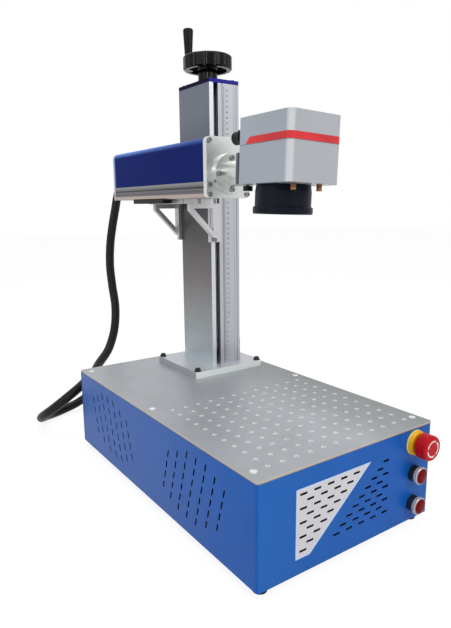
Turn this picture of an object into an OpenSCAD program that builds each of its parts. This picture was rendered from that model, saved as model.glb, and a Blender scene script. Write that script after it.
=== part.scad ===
// Desktop laser marking machine: a sheet steel cabinet with a drilled worktop, a column with a
// hand-cranked lift, an arm that carries the beam and a scan head with its lens.
// The origin is on the floor under the middle of the cabinet; the front panel faces -Y.

/* [Cabinet] */
// Width of the cabinet
cabinet_w = 344; // [330:1:380]
// Depth of the cabinet, front to rear
cabinet_l = 596; // [580:1:680]
// Height of the sheet steel body without feet and worktop
body_h = 150.5; // [146:0.5:190]
// Thickness of the sheet steel
sheet_t = 1.5; // [1:0.1:2]
// Width of the flanges folded inward at the edges
fold_w = 22; // [20:1:26]
// Radius of the upright corners
corner_r = 4; // [3:0.5:8]
// Height of a rubber foot
foot_h = 12; // [9:0.5:20]
// Diameter of a rubber foot
foot_d = 24; // [20:1:30]
// Distance of a foot's centre from both edges
foot_inset = 19; // [17:1:21]

/* [Worktop] */
// Thickness of the worktop
plate_t = 3; // [2:0.5:6]
// How far the worktop stands over the body
plate_over = 0.5; // [0:0.1:2]
// Distance between the threaded holes
grid_pitch = 25; // [20:1:27]
// Diameter of the threaded holes
tap_d = 5; // [4:0.1:6]
// Holes across
grid_cols = 12; // [4:1:12]
// Holes from front to rear
grid_rows = 11; // [4:1:11]
// Distance of the edge screws from the side edges
edge_screw_in = 14; // [12:1:15]
// Distance of the corner screws from the front and rear edges
end_screw_in = 26; // [24:1:40]

/* [Vents] */
// Length of a vent slot
vent_len = 13; // [8:0.5:15]
// Width of a vent slot
vent_w = 3.3; // [2:0.1:4.5]
// Slots from column to column on the sides
side_pitch = 25.6; // [20:0.1:28]
// Slots from row to row on the sides
side_step = 19.3; // [16:0.1:20]
// Lean of the side slots
side_lean = 16.5; // [0:0.5:20]
// Distance of each side group from the middle
side_group = 144; // [130:1:160]
// Slots from column to column on the front
front_pitch = 25; // [20:0.5:26]
// Rows of slots on the front
front_step = 10.25; // [8:0.25:11]
// Thickness of the white vent plate
vent_plate_t = 1; // [0.5:0.1:2]

/* [Controls] */
// Distance of the controls from the right side of the cabinet
control_x = 39; // [30:1:48]
// Height of the stop button over the underside of the body
stop_up = 128; // [112:1:128]
// Height of the upper push button over the underside of the body
upper_up = 78; // [70:1:84]
// Height of the lower push button over the underside of the body
lower_up = 28; // [22:1:36]
// Diameter of the panel hole of every control
panel_hole = 22.5; // [20:0.1:24]
// Diameter of the yellow collar
collar_d = 40; // [34:1:44]
// Length of the yellow collar in front of the panel
collar_len = 9; // [5:0.5:12]
// Diameter of the mushroom head
mushroom_d = 39; // [30:1:46]
// Thickness of the mushroom head
mushroom_len = 18; // [12:0.5:24]
// Travel of the stop button
stop_travel = 4; // [3:0.5:5]
// Diameter of the chrome ring of a push button
bezel_d = 27.5; // [25:0.5:32]
// How far a push button stands out of the panel
bezel_len = 16; // [10:0.5:20]
// Travel of a push button
button_travel = 3; // [2:0.5:4]

/* [Column] */
// Lift screw axis, in from the right side of the cabinet
column_x = 93; // [93:1:102]
// Lift screw axis, behind the middle
column_y = 184; // [170:1:190]
// Width of the column
column_w = 68; // [64:1:80]
// Depth of the column
column_d = 111; // [104:1:120]
// Height of the column between its foot plate and its cap
column_h = 547; // [500:1:620]
// Wall of the column extrusion
column_wall = 6; // [5:0.5:7]
// Distance of the slot from the left edge
slot_from = 9.7; // [9:0.1:11]
// Width of the slots at the front and rear
slot_w = 10.2; // [9.6:0.1:11]
// Width of the foot plate
foot_plate_w = 162; // [150:1:164]
// Depth of the foot plate
foot_plate_l = 158; // [150:1:176]
// Thickness of the foot plate
foot_plate_t = 12.5; // [8:0.5:20]
// Distance of the foot plate's bolts from its edges
foot_bolt_in = 8; // [8:0.5:14]
// Thickness of the cap
cap_t = 7; // [4:0.5:12]
// Thickness of the scale strip
scale_t = 0.8; // [0.5:0.1:1.2]

/* [Lift] */
// Height of the carriage over the foot plate at rest
carriage_up = 259; // [255:1:300]
// Height of the carriage
carriage_h = 65; // [60:1:90]
// Diameter of the guide rods
rod_d = 12; // [10:0.5:14]
// Distance of each guide rod from the lift screw
rod_off = 32; // [30:1:34]
// Diameter of the lift screw
screw_d = 16; // [14:0.5:18]
// Diameter of the lift screw's journals
journal_d = 10; // [8:0.5:12]
// Height of a bearing block
bearing_h = 14; // [10:0.5:15]
// Thickness of a carriage ear inside the slot
ear_t = 6.5; // [5:0.1:7]
// Thickness of a carriage ear outside the column
ear_flange_t = 7; // [5:0.5:9]

/* [Handwheel] */
// Diameter of the rim
wheel_d = 95.5; // [90:0.5:104]
// Height of the rim
rim_h = 26; // [20:0.5:36]
// Height of the rim's underside over the cap
rim_up = 25.5; // [18:0.5:34]
// Diameter of the hub
hub_d = 38; // [30:1:40]
// Flutes round the rim
flutes = 15; // [8:1:18]
// Distance of the crank handle from the wheel's axis
crank_r = 37; // [34:0.5:38]
// Length of the crank handle
crank_len = 51; // [36:0.5:60]
// Diameter of the crank handle at its top
crank_d = 20; // [17:0.5:22]
// Diameter of the crank handle at its foot
crank_foot_d = 15; // [13:0.5:17]

/* [Arm] */
// Thickness of a triangular bracket
bracket_t = 10; // [8:0.5:12]
// Width of a bracket's bars
bracket_bar = 9; // [6:0.5:12]
// Reach of the brackets to the left of the column
bracket_reach = 57.5; // [50:0.5:62]
// Thickness of the plate between brackets and arm
mount_plate_t = 9; // [6:0.5:14]
// Width of the arm
arm_w = 84; // [82:1:88]
// Height of the arm
arm_h = 98; // [90:1:108]
// Length of the arm behind its flange
arm_l = 362; // [340:1:380]
// Height of the silver rail along the arm's foot
rail_h = 26.5; // [20:0.5:30]
// Wall of the arm
arm_wall = 3; // [2:0.5:5]
// Radius along the top edges of the arm
arm_r = 12; // [5:0.5:14]
// Thickness of the front flange
flange_t = 10; // [6:0.5:14]
// How far the flange stands over the arm all round
flange_over = 2; // [1:0.5:4]
// Diameter of the round collar on the flange
ring_d = 68; // [62:1:74]
// Thickness of the round collar
ring_t = 10; // [6:0.5:14]
// Diameter of the tube between arm and head
tube_d = 43; // [40:0.5:44]
// Bore of the tube
tube_bore = 34; // [28:0.5:36]
// Length of the tube in front of the collar
tube_len = 74.5; // [60:0.5:100]
// Height of the beam over the arm's underside
beam_up = 39; // [39:0.5:46]

/* [Scan head] */
// Width of the head
head_w = 98; // [94:1:110]
// Length of the head
head_l = 119.5; // [112:0.5:135]
// Height of the lower housing
housing_h = 56; // [56:0.5:64]
// Height of the cover
cover_h = 39.5; // [36:0.5:50]
// Wall of the housing
housing_wall = 4; // [3:0.5:5]
// Radius of the head's upright corners
head_r = 10; // [7:0.5:14]
// Height of the beam over the underside of the head
beam_in_head = 23; // [22:0.5:25]
// Thickness of the dark plate behind the head
back_plate_t = 6; // [5.5:0.1:10]
// Height of the dark plate behind the head
back_plate_h = 47; // [44:0.5:52]
// Distance of the lens from the rear of the head
lens_back = 53; // [50:0.5:56]
// Diameter of the lens barrel
barrel_d = 84.2; // [82:0.2:88]
// Height of the lens barrel
barrel_h = 32; // [26:0.5:40]
// Diameter of the ring at the mouth of the lens
mouth_d = 89.6; // [88:0.2:94]
// Height of the ring at the mouth of the lens
mouth_h = 11; // [9:0.5:14]
// Diameter of the threaded neck of the lens
neck_d = 75.6; // [74:0.2:76]
// Diameter of a pointer tube
pointer_d = 8; // [6:0.5:8]
// Diameter of a scan motor
motor_d = 22; // [18:0.5:23]
// Turn of the head about the beam, as it was set when the photo was taken
head_roll = 2.3; // [-5:0.1:5]

/* [Cabinet contents] */
// Width of the laser source
source_w = 215; // [180:1:215]
// Depth of the laser source
source_l = 286; // [250:1:286]
// Height of the laser source
source_h = 95; // [80:1:110]
// Width of the power supply
supply_w = 115; // [90:1:115]
// Depth of the power supply
supply_l = 215; // [180:1:240]
// Height of the power supply
supply_h = 50; // [40:1:60]
// Side of the fan
fan_side = 80; // [60:1:92]
// Depth of the fan
fan_t = 25; // [20:1:25]

/* [Hose] */
// Diameter of the hose between arm and cabinet
hose_d = 20; // [16:0.5:22]
// Length of the hose fitting on the arm
arm_fitting_len = 16; // [16:0.5:16]
// Length of the hose fitting on the cabinet
cabinet_fitting_len = 22; // [22:0.5:22]

/* [Hidden] */

$fn = 64;
over = 1;
run_gap = 0.05;
free_gap = 0.3;

cabinet_blue = [0.16, 0.40, 0.74];
silver = [0.70, 0.71, 0.73];
bright = [0.86, 0.87, 0.89];
worktop_grey = [0.66, 0.68, 0.70];
cover_grey = [0.42, 0.45, 0.50];
cap_blue = [0.14, 0.14, 0.55];
arm_navy = [0.08, 0.14, 0.42];
head_grey = [0.66, 0.68, 0.71];
near_black = [0.06, 0.06, 0.07];
rubber_black = [0.04, 0.04, 0.04];
vent_white = [0.82, 0.82, 0.83];
signal_yellow = [0.92, 0.64, 0.06];
signal_red = [0.76, 0.10, 0.14];
lens_red = [0.45, 0.05, 0.06];
brass = [0.74, 0.55, 0.25];
steel = [0.72, 0.73, 0.75];
board_green = [0.05, 0.30, 0.15];
glass_tint = [0.35, 0.30, 0.60];
dark_grey = [0.24, 0.25, 0.27];

body_z = foot_h;
top_z = body_z + body_h;
deck_z = top_z + plate_t;
floor_z = body_z + 2 * sheet_t;
front_y = -cabinet_l / 2;
rear_y = cabinet_l / 2;

screw_d4 = 4;
screw_hole4 = 4.5;
edge_screw_d = 5;
edge_head_d = 10.6;
edge_head_h = 1.4;
edge_screw_x = cabinet_w / 2 - edge_screw_in;
edge_screw_y = cabinet_l / 2 - end_screw_in;
panel_screw_z = 12;
panel_screw_x = cabinet_w / 2 - fold_w / 2;
foot_bore = 5;
foot_counter_d = 11;
foot_counter_h = 6;

grid_x = 5;
grid_y = -144;

side_vent_up = 78;
side_vent_z = body_z + side_vent_up;
side_vent_y = 4;
side_rows = 6;
front_vent_up = 116;
front_vent_z = body_z + front_vent_up;
white_first_x = -96;
blue_first_x = 68;
white_rows = 9;
vent_edge = 12.5;
vent_plate_up = 124;
vent_plate_low = 23.8;
vent_plate_top = body_z + vent_plate_up;
vent_plate_bottom = body_z + vent_plate_low;
vent_plate_left = white_first_x - vent_edge;
vent_plate_right = 33;
vent_plate_toe = -83.3;

controls_x = cabinet_w / 2 - control_x;
stop_z = body_z + stop_up;
upper_z = body_z + upper_up;
lower_z = body_z + lower_up;
stop_stem_d = 12;
stop_gap = stop_travel + 1;
stop_pocket = 12;
stop_stem_in = 36;
block_side = 30;
block_len = 42;
button_stem_d = 8;
button_cap_d = bezel_d - 7.5;
button_stem_in = 26;
bezel_ring_len = 6;
bezel_base_d = bezel_d - 2;
button_cap_len = 7;
button_hole_d = button_stem_d + 0.4;
stop_hole_d = stop_stem_d + 2 * run_gap;

screw_x = cabinet_w / 2 - column_x;
column_z = deck_z + foot_plate_t;
column_top = column_z + column_h;
cap_z = column_top + cap_t;
left_x = screw_x - column_w / 2;
slot_to = slot_from + slot_w;
foot_plate_left = 8.5;
foot_plate_front = 3;
foot_plate_x = screw_x - foot_plate_left;
foot_plate_y = column_y - foot_plate_front;
bolt_d = 6;
bolt_hole = 6.6;
bolt_head_d = 10;
bolt_head_h = 6;
nut_h = 5;
nut_d = 11.5;
clamp_t = 8;
clamp_w = 92;
clamp_h = 51;
scale_from = 30.5;
scale_to = 56;
groove_d = 1.2;
cover_wall = 4;
cover_return_t = 5;
cap_over = 0.5;
cap_screw_x = 26;
cap_screw_y = 46;

carriage_z = column_z + carriage_up;
carriage_top = carriage_z + carriage_h;
bearing_side = 42;
bearing_r = 3;
ear_slack = 1.4;
ear_x1 = left_x + slot_to - ear_slack;
ear_x0 = ear_x1 - ear_t;
block_x1 = screw_x + column_w / 2 - column_wall - 7;
block_d = column_d - 2 * column_wall - 11;
ear_face = column_d / 2 + 1;
ear_out = ear_face + ear_flange_t;
ear_tail = 9;
ear_left = left_x - 7;
ear_inner = 39.5;
nut_bore = 26;
nut_flange_d = 38;
nut_flange_h = 8;
tail_bolt_d = 5;
tail_head_d = 8;
tail_head_h = 5;
tail_in = 9.5;
tail_up = 4.5;

rim_z = cap_z + rim_up;
rim_top = rim_z + rim_h;
rim_wall = 10;
rim_edge = 2.5;
web_up = 16;
web_t = 7;
spokes = 5;
hub_up = 0.6;
hub_top = cap_z + 46;
crank_angle = 145.4;
spindle_d = 6;
spindle_up = 34;
spindle_in = 20;
crank_z = rim_top + free_gap;

mount_z = carriage_top;
arm_z = mount_z + mount_plate_t;
beam_z = arm_z + beam_up;
arm_gap = 5;
beam_x = left_x - arm_gap - arm_w / 2;
bracket_left = left_x - bracket_reach;
bracket_right = left_x + 3;
bracket_end_h = 12;
bracket_toe = 8;
bracket_diag = 8;
bracket_y = ear_out + bracket_t;
mount_over = 9;
mount_left = bracket_left - mount_over;
mount_notch_d = 7;
notch_screw_d = 5.4;
notch_left = 37;
notch_x = left_x - notch_left;
notch_y = 66;
notch_in = 2;
notch_end = 5;
cover_gap = 1.5;
access_left = 40;
access_x = beam_x - access_left;
access_gap = 1.5;
access_w = mount_left - access_gap - access_x;
access_y = 162;
access_l = 125;
access_t = 8;
rail_wall = 5;
rail_r = 5;
groove_in = 1.6;
groove_h = 1.6;
end_cap_t = 6;
arm_y = flange_t;
arm_end = arm_y + arm_l;
flange_w = arm_w + 2 * flange_over;
flange_h = arm_h + flange_over;
flange_r = 9;
flange_z = arm_z - flange_over / 2;
flange_bolt_x = 38.5;
flange_bolt_in = 6.5;
flange_bolt_step = 16;
ring_bolt_r = 26;
spigot_d = 39.8;
spigot_len = 8;
front_bolt_d = 5;
front_head_d = 8.5;
front_head_h = 3;
collimator_d = 28;
collimator_l = 110;
collimator_bore = 8;
saddle_w = 24;
saddle_l = 60;
saddle_in = 20;

tube_front = -ring_t - tube_len;
head_rear = tube_front - back_plate_t;
head_front = head_rear - head_l;
head_z = beam_z - beam_in_head;
seam_z = head_z + housing_h;
head_top = seam_z + cover_h;
back_plate_w = head_w - 6;
back_plate_r = 3;
lens_y = head_rear - lens_back;
barrel_z = head_z - barrel_h;
mouth_z = barrel_z - mouth_h;
neck_hole = neck_d + 0.4;
barrel_bore = 66;
glass_d = 72;
glass_t = 3;
glass_seat = 68;
element_d = 64;
pointer_left = 26;
pointer_right = 23.5;
pointer_in = 15.5;
pointer_x1 = beam_x - pointer_left;
pointer_x2 = beam_x + pointer_right;
pointer_y = head_front + pointer_in;
pointer_out = 9.5;
pointer_len = 21;
mirror_off = 13.5;
mirror_x_at = beam_x - mirror_off;
shaft_d = 4;
shaft_hole = shaft_d + 2 * run_gap;
bridge_up = 19;
bridge_z = beam_z + bridge_up;
bridge_t = 6;
shelf_front = 20;
shelf_y = lens_y - shelf_front;
shelf_t = 6;
shelf_w = 80;
bridge_l = 42;
mirror_t = 2;
mirror_a = 14;
mirror_b = 22;
plug_left = 36;
plug_up = 14;
plug_x = beam_x - plug_left;
plug_z = seam_z + plug_up;
plug_d = 20;
plug_len = 20;
lock_left = 24;
lock_x = beam_x - lock_left;
lock_d = 15;
lock_h = 9;
lock_neck_d = 5;
lock_neck_h = 1.5;
plate_inset = 0.5;

case_gap = 5;
fan_clear = 9.5;
source_x = -cabinet_w / 2 + sheet_t + case_gap;
source_y = rear_y - sheet_t - fan_t - fan_clear - source_l;
source_fins = 12;
fin_h = 10;
fin_t = 4;
supply_x = source_x;
supply_y = source_y - case_gap - supply_w;
supply_wall = 2;
supply_slot_in = 15;
supply_slots = 10;
supply_slot_w = 5;
supply_slot_step = 12;
case_wall = 4;
board_w = 160;
board_l = 110;
board_t = 1.6;
board_x = supply_x + supply_l / 2;
board_y = supply_y + supply_w / 2;
board_z = floor_z + supply_h;
standoff_h = 8;
standoff_d = 7;
standoff_in = 6;
chip_side = 32;
chip_h = 4;
plug_row_x = 62;
plug_row_step = 27;
plug_row_w = 20;
plug_row_h = 12;
fan_from_side = 72;
fan_up = 76;
fan_x = -cabinet_w / 2 + fan_from_side;
fan_z = body_z + fan_up;
fan_bore = fan_side - 4;
fan_hub = 32;
blades = 7;
inlet_from_side = 62;
inlet_up = 60;
inlet_x = cabinet_w / 2 - inlet_from_side;
inlet_z = body_z + inlet_up;
inlet_w = 30;
inlet_h = 24;
inlet_in = 24;
inlet_flange_t = 2.5;
socket_w = 24.6;
socket_h = 16.6;
socket_in = 17;
blade_len = 10.5;

gland_hex = 30;
gland_thread = 20;
gland_bore = 12;
arm_gland_right = 11;
arm_gland_x = beam_x + arm_gland_right;
arm_gland_up = 59;
arm_gland_z = arm_z + arm_gland_up;
cabinet_gland_x = 18;
cabinet_gland_up = 60;
cabinet_gland_z = body_z + cabinet_gland_up;
hose_sides = 10;
hose_route = [
    [9, 394, 570], [9, 404, 570], [9, 432, 565], [9, 458, 549], [7, 477, 522], [3, 485, 490],
    [-4, 490, 450], [-10, 494, 405], [-13, 494, 355], [-12, 488, 305], [-12, 476, 255],
    [-24, 460, 205], [-50, 439, 163], [-86, 413, 139], [-116, 379, 127], [-154, 360, 109],
    [-189, 362, 86], [-213, 381, 62], [-224, 411, 41], [-218, 446, 24], [-196, 478, 14],
    [-159, 499, 11], [-112, 503, 22], [-68, 491, 46], [-24, 466, 57], [5, 425, 67],
    [16, 376, 71], [18, 334, 72], [18, 320, 72]
];

module rounded_rect(w, l, r) {
    square([w - 2 * r, l], center = true);
    square([w, l - 2 * r], center = true);
    for (sx = [-1, 1], sy = [-1, 1])
        translate([sx * (w / 2 - r), sy * (l / 2 - r)])
            circle(r);
}

module rounded_block(w, l, h, r) {
    linear_extrude(h)
        rounded_rect(w, l, r);
}

module slot_shape(len, w) {
    square([len - w, w], center = true);
    for (s = [-1, 1])
        translate([s * (len - w) / 2, 0])
            circle(d = w);
}

// A cut through the front panel, drawn in X and Z
module front_cut(x, z, depth = sheet_t) {
    translate([x, front_y + depth + over, z])
        rotate([90, 0, 0])
            linear_extrude(depth + 2 * over + vent_plate_t)
                children();
}

// A cylinder along Y from y0 to y1
module y_cylinder(x, z, y0, y1, d1, d2) {
    translate([x, y1, z])
        rotate([90, 0, 0])
            cylinder(h = y1 - y0, d1 = d2, d2 = d1);
}

module y_bar(x, z, y0, y1, d) {
    y_cylinder(x, z, y0, y1, d, d);
}

// A shape drawn in X and Z and drawn out from y0 to y1
module y_extrude(y0, y1) {
    translate([0, y1, 0])
        rotate([90, 0, 0])
            linear_extrude(y1 - y0)
                children();
}

// A through bore for a wall that stands at height z
module bore(h, d, z = 0) {
    translate([0, 0, z - over])
        cylinder(h = h + 2 * over, d = d);
}

// A socket head screw with its head's underside at z = 0 and its shank below
module socket_screw(head_d, head_h, shank_d, shank_l) {
    difference() {
        union() {
            cylinder(h = head_h, d = head_d);
            translate([0, 0, -shank_l])
                cylinder(h = shank_l + head_h / 2, d = shank_d);
        }
        translate([0, 0, head_h * 0.45])
            cylinder(h = head_h, d = head_d * 0.52, $fn = 6);
    }
}

module white_slots(w = vent_w) {
    for (row = [0 : white_rows - 1])
        for (i = [0 : 4 - ceil(row / 2)])
            front_cut(white_first_x + (row % 2) * front_pitch / 2 + i * front_pitch,
                      front_vent_z - row * front_step)
                slot_shape(vent_len, w);
}

module blue_slots() {
    for (row = [0 : white_rows - 1])
        for (i = [0 : floor(row / 2)])
            front_cut(blue_first_x - (row % 2) * front_pitch / 2 - i * front_pitch,
                      front_vent_z - row * front_step)
                slot_shape(vent_len, vent_w);
}

// One group of leaning slots, cut through both side walls at once
module side_slots(y, lean) {
    for (i = [-3 : 3])
        let (count = min(side_rows, 7 - abs(i)))
            for (j = [0 : count - 1])
                let (up = (j - (count - 1) / 2) * side_step)
                    translate([-cabinet_w / 2 - over, y + i * side_pitch - up * tan(lean), side_vent_z + up])
                        rotate([90, 0, 90])
                            linear_extrude(cabinet_w + 2 * over)
                                rotate(90 + lean)
                                    slot_shape(vent_len, vent_w);
}

module edge_screw_places() {
    for (x = [-edge_screw_x, edge_screw_x], y = [-edge_screw_y, side_vent_y, edge_screw_y])
        translate([x, y, 0])
            children();
}

module foot_places() {
    for (sx = [-1, 1], sy = [-1, 1])
        translate([sx * (cabinet_w / 2 - foot_inset), sy * (cabinet_l / 2 - foot_inset), 0])
            children();
}

module panel_screw_places() {
    for (x = [-panel_screw_x, panel_screw_x], z = [body_z + panel_screw_z, top_z - panel_screw_z])
        translate([x, rear_y, z])
            rotate([-90, 0, 0])
                children();
}

module foot_bolt_places() {
    for (sx = [-1, 1], sy = [-1, 1])
        translate([foot_plate_x + sx * (foot_plate_w / 2 - foot_bolt_in),
                   foot_plate_y + sy * (foot_plate_l / 2 - foot_bolt_in), 0])
            children();
}

module control_places() {
    for (z = [stop_z, upper_z, lower_z])
        translate([controls_x, front_y, z])
            rotate([90, 0, 0])
                children();
}

module button_places() {
    for (z = [upper_z, lower_z])
        translate([controls_x, front_y, z])
            rotate([90, 0, 0])
                children();
}

module cabinet_shell() {
    color(cabinet_blue)
        difference() {
            translate([0, 0, body_z])
                rounded_block(cabinet_w, cabinet_l, body_h, corner_r);
            // The room inside, between the folded flanges
            translate([0, -sheet_t / 2, body_z + sheet_t])
                rounded_block(cabinet_w - 2 * sheet_t, cabinet_l - 3 * sheet_t, body_h - 2 * sheet_t,
                              corner_r - sheet_t);
            translate([0, 0, body_z - over])
                rounded_block(cabinet_w - 2 * fold_w, cabinet_l - 2 * fold_w, body_h + 2 * over, corner_r);
            // The open rear, with the panel's seat
            translate([-cabinet_w / 2 - over, rear_y - sheet_t, body_z - over])
                cube([cabinet_w + 2 * over, sheet_t + over, body_h + 2 * over]);
            y_extrude(rear_y - 3 * sheet_t, rear_y + over)
                translate([0, body_z + body_h / 2])
                    rounded_rect(cabinet_w - 2 * fold_w, body_h - 2 * fold_w, corner_r);
            white_slots();
            blue_slots();
            side_slots(side_vent_y - side_group, side_lean);
            side_slots(side_vent_y + side_group, -side_lean);
            control_places()
                bore(sheet_t, panel_hole, -sheet_t);
            edge_screw_places()
                bore(sheet_t, edge_screw_d + 0.5, top_z - sheet_t);
            foot_places()
                bore(sheet_t, screw_hole4, body_z);
            panel_screw_places()
                translate([0, 0, -3 * sheet_t])
                    cylinder(h = 3 * sheet_t + over, d = screw_hole4);
        }
}

module bottom_plate() {
    color(steel)
        difference() {
            translate([0, -sheet_t / 2, body_z + sheet_t])
                rounded_block(cabinet_w - 2 * sheet_t - 1, cabinet_l - 3 * sheet_t - 1, sheet_t,
                              corner_r - sheet_t);
            foot_places()
                translate([0, 0, body_z])
                    cylinder(h = 3 * sheet_t, d = screw_hole4);
        }
}

// Ring slots in front of the fan, with four bars left standing
module fan_slots() {
    difference() {
        for (r = [12 : 9 : fan_bore / 2 - 5])
            y_extrude(rear_y - sheet_t - over, rear_y + over)
                translate([fan_x, fan_z])
                    difference() {
                        circle(r + 5);
                        circle(r);
                    }
        for (a = [45, 135])
            translate([fan_x, rear_y, fan_z])
                rotate([0, a, 0])
                    cube([fan_side, 20, 6], center = true);
    }
}

module rear_panel() {
    color(cabinet_blue)
        difference() {
            y_extrude(rear_y - sheet_t, rear_y)
                translate([0, body_z + body_h / 2])
                    rounded_rect(cabinet_w, body_h, corner_r / 2);
            fan_slots();
            y_bar(cabinet_gland_x, cabinet_gland_z, rear_y - sheet_t - over, rear_y + over,
                  gland_thread + 0.4);
            translate([inlet_x, rear_y, inlet_z])
                cube([inlet_w + 0.4, 4 * sheet_t, inlet_h + 0.4], center = true);
            panel_screw_places()
                translate([0, 0, -2 * sheet_t])
                    cylinder(h = 3 * sheet_t, d = screw_hole4);
        }
}

module case_screws() {
    color(steel) {
        edge_screw_places()
            translate([0, 0, deck_z])
                socket_screw(edge_head_d, edge_head_h, edge_screw_d, plate_t + sheet_t + 5);
        panel_screw_places()
            socket_screw(7.5, 2.6, screw_d4, 10);
        foot_places()
            translate([0, 0, foot_counter_h])
                mirror([0, 0, 1])
                    socket_screw(7.5, 2.6, screw_d4, foot_h - foot_counter_h + 4 * sheet_t);
        for (sx = [-1, 1], sy = [-1, 1])
            translate([screw_x + sx * cap_screw_x, column_y + sy * cap_screw_y, cap_z])
                socket_screw(7.5, 2.6, screw_d4, cap_t + 8);
    }
}

module worktop() {
    color(worktop_grey)
        difference() {
            translate([0, 0, top_z])
                rounded_block(cabinet_w + 2 * plate_over, cabinet_l + 2 * plate_over, plate_t,
                              corner_r + plate_over);
            for (i = [0 : grid_cols - 1], j = [0 : grid_rows - 1])
                translate([grid_x + (i - (grid_cols - 1) / 2) * grid_pitch,
                           grid_y + (j - (grid_rows - 1) / 2) * grid_pitch, top_z - over])
                    cylinder(h = plate_t + 2 * over, d = tap_d);
            edge_screw_places()
                bore(plate_t, edge_screw_d + 0.5, top_z);
            foot_bolt_places()
                bore(plate_t, bolt_hole, top_z);
        }
}

module feet() {
    color(rubber_black)
        foot_places()
            difference() {
                cylinder(h = foot_h, d1 = foot_d - 4, d2 = foot_d);
                bore(foot_h, foot_bore);
                translate([0, 0, -over])
                    cylinder(h = foot_counter_h + over, d = foot_counter_d);
            }
}

module vent_plate() {
    color(vent_white)
        difference() {
            y_extrude(front_y - vent_plate_t, front_y)
                polygon([[vent_plate_left, vent_plate_top], [vent_plate_right, vent_plate_top],
                         [vent_plate_toe, vent_plate_bottom], [vent_plate_left, vent_plate_bottom]]);
            white_slots();
        }
}

module stop_collar() {
    color(signal_yellow)
        difference() {
            union() {
                y_cylinder(controls_x, stop_z, front_y - collar_len, front_y, collar_d - 3, collar_d);
                y_bar(controls_x, stop_z, front_y - over, front_y + sheet_t + 3, panel_hole - 0.4);
            }
            y_bar(controls_x, stop_z, front_y - collar_len - over, front_y + sheet_t + 3 + over,
                  stop_hole_d);
        }
}

module stop_stem() {
    color(dark_grey)
        y_cylinder(controls_x, stop_z, front_y - collar_len - stop_gap - stop_pocket + 0.1,
                   front_y + stop_stem_in, stop_stem_d, stop_stem_d);
}

module stop_head() {
    color(signal_red)
        translate([controls_x, front_y - collar_len - stop_gap, stop_z])
            rotate([90, 0, 0])
                difference() {
                    rotate_extrude()
                        difference() {
                            union() {
                                square([mushroom_d / 2, mushroom_len - 4]);
                                square([mushroom_d / 2 - 4, mushroom_len]);
                                translate([mushroom_d / 2 - 4, mushroom_len - 4])
                                    circle(4);
                            }
                            translate([-mushroom_d, -mushroom_d])
                                square([mushroom_d, 3 * mushroom_d]);
                        }
                    translate([0, 0, -over])
                        cylinder(h = stop_pocket + over, d = stop_hole_d);
                }
}

module contact_blocks() {
    color(near_black) {
        difference() {
            translate([controls_x, front_y + sheet_t + 3 + block_len / 2, stop_z])
                cube([block_side, block_len, block_side], center = true);
            y_bar(controls_x, stop_z, front_y, front_y + stop_stem_in + stop_travel + 1, stop_hole_d);
        }
        button_places()
            difference() {
                union() {
                    translate([0, 0, -sheet_t - 3 - block_len / 2])
                        cube([block_side, block_side, block_len], center = true);
                    translate([0, 0, -sheet_t - 3 - over])
                        cylinder(h = sheet_t + 3 + over, d = panel_hole - 0.4);
                }
                translate([0, 0, -button_stem_in - button_travel - 1])
                    cylinder(h = button_stem_in + button_travel + 5, d = button_hole_d);
            }
    }
}

module button_bezels() {
    color(bright)
        button_places()
            difference() {
                union() {
                    cylinder(h = bezel_len - bezel_ring_len + over, d = bezel_base_d);
                    translate([0, 0, bezel_len - bezel_ring_len])
                        cylinder(h = bezel_ring_len - 1, d = bezel_d);
                    translate([0, 0, bezel_len - 1])
                        cylinder(h = 1, d1 = bezel_d, d2 = bezel_d - 2);
                }
                bore(bezel_len, button_cap_d + 2 * free_gap);
            }
}

module button_cap(z) {
    color(lens_red)
        translate([controls_x, front_y, z])
            rotate([90, 0, 0])
                union() {
                    translate([0, 0, bezel_len - button_cap_len])
                        cylinder(h = button_cap_len - 1, d = button_cap_d);
                    translate([0, 0, bezel_len - 1])
                        cylinder(h = 1, d1 = button_cap_d, d2 = button_cap_d - 2);
                    translate([0, 0, -button_stem_in])
                        cylinder(h = button_stem_in + bezel_len - 2, d = button_stem_d);
                }
}

module upper_button_cap() {
    button_cap(upper_z);
}

module lower_button_cap() {
    button_cap(lower_z);
}

module finned_case(w, l, h, fins) {
    difference() {
        union() {
            cube([w, l, h - fin_h]);
            for (i = [0 : fins - 1])
                translate([fin_h + i * (w - 2 * fin_h - fin_t) / (fins - 1), fin_h, h - fin_h - over])
                    cube([fin_t, l - 2 * fin_h, fin_h + over]);
        }
        translate([case_wall, case_wall, -over])
            cube([w - 2 * case_wall, l - 2 * case_wall, h - fin_h - case_wall + over]);
    }
}

module laser_source() {
    color(dark_grey)
        translate([source_x, source_y, floor_z])
            finned_case(source_w, source_l, source_h, source_fins);
}

module power_supply() {
    color(silver)
        translate([supply_x, supply_y, floor_z])
            difference() {
                cube([supply_l, supply_w, supply_h]);
                translate([supply_wall, supply_wall, -over])
                    cube([supply_l - 2 * supply_wall, supply_w - 2 * supply_wall, supply_h - supply_wall + over]);
                for (i = [0 : supply_slots - 1])
                    translate([supply_l / 2 + (i - supply_slots / 2) * supply_slot_step, supply_slot_in,
                               supply_h - supply_wall - over])
                        cube([supply_slot_w, supply_w - 2 * supply_slot_in, supply_wall + 2 * over]);
            }
}

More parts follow.
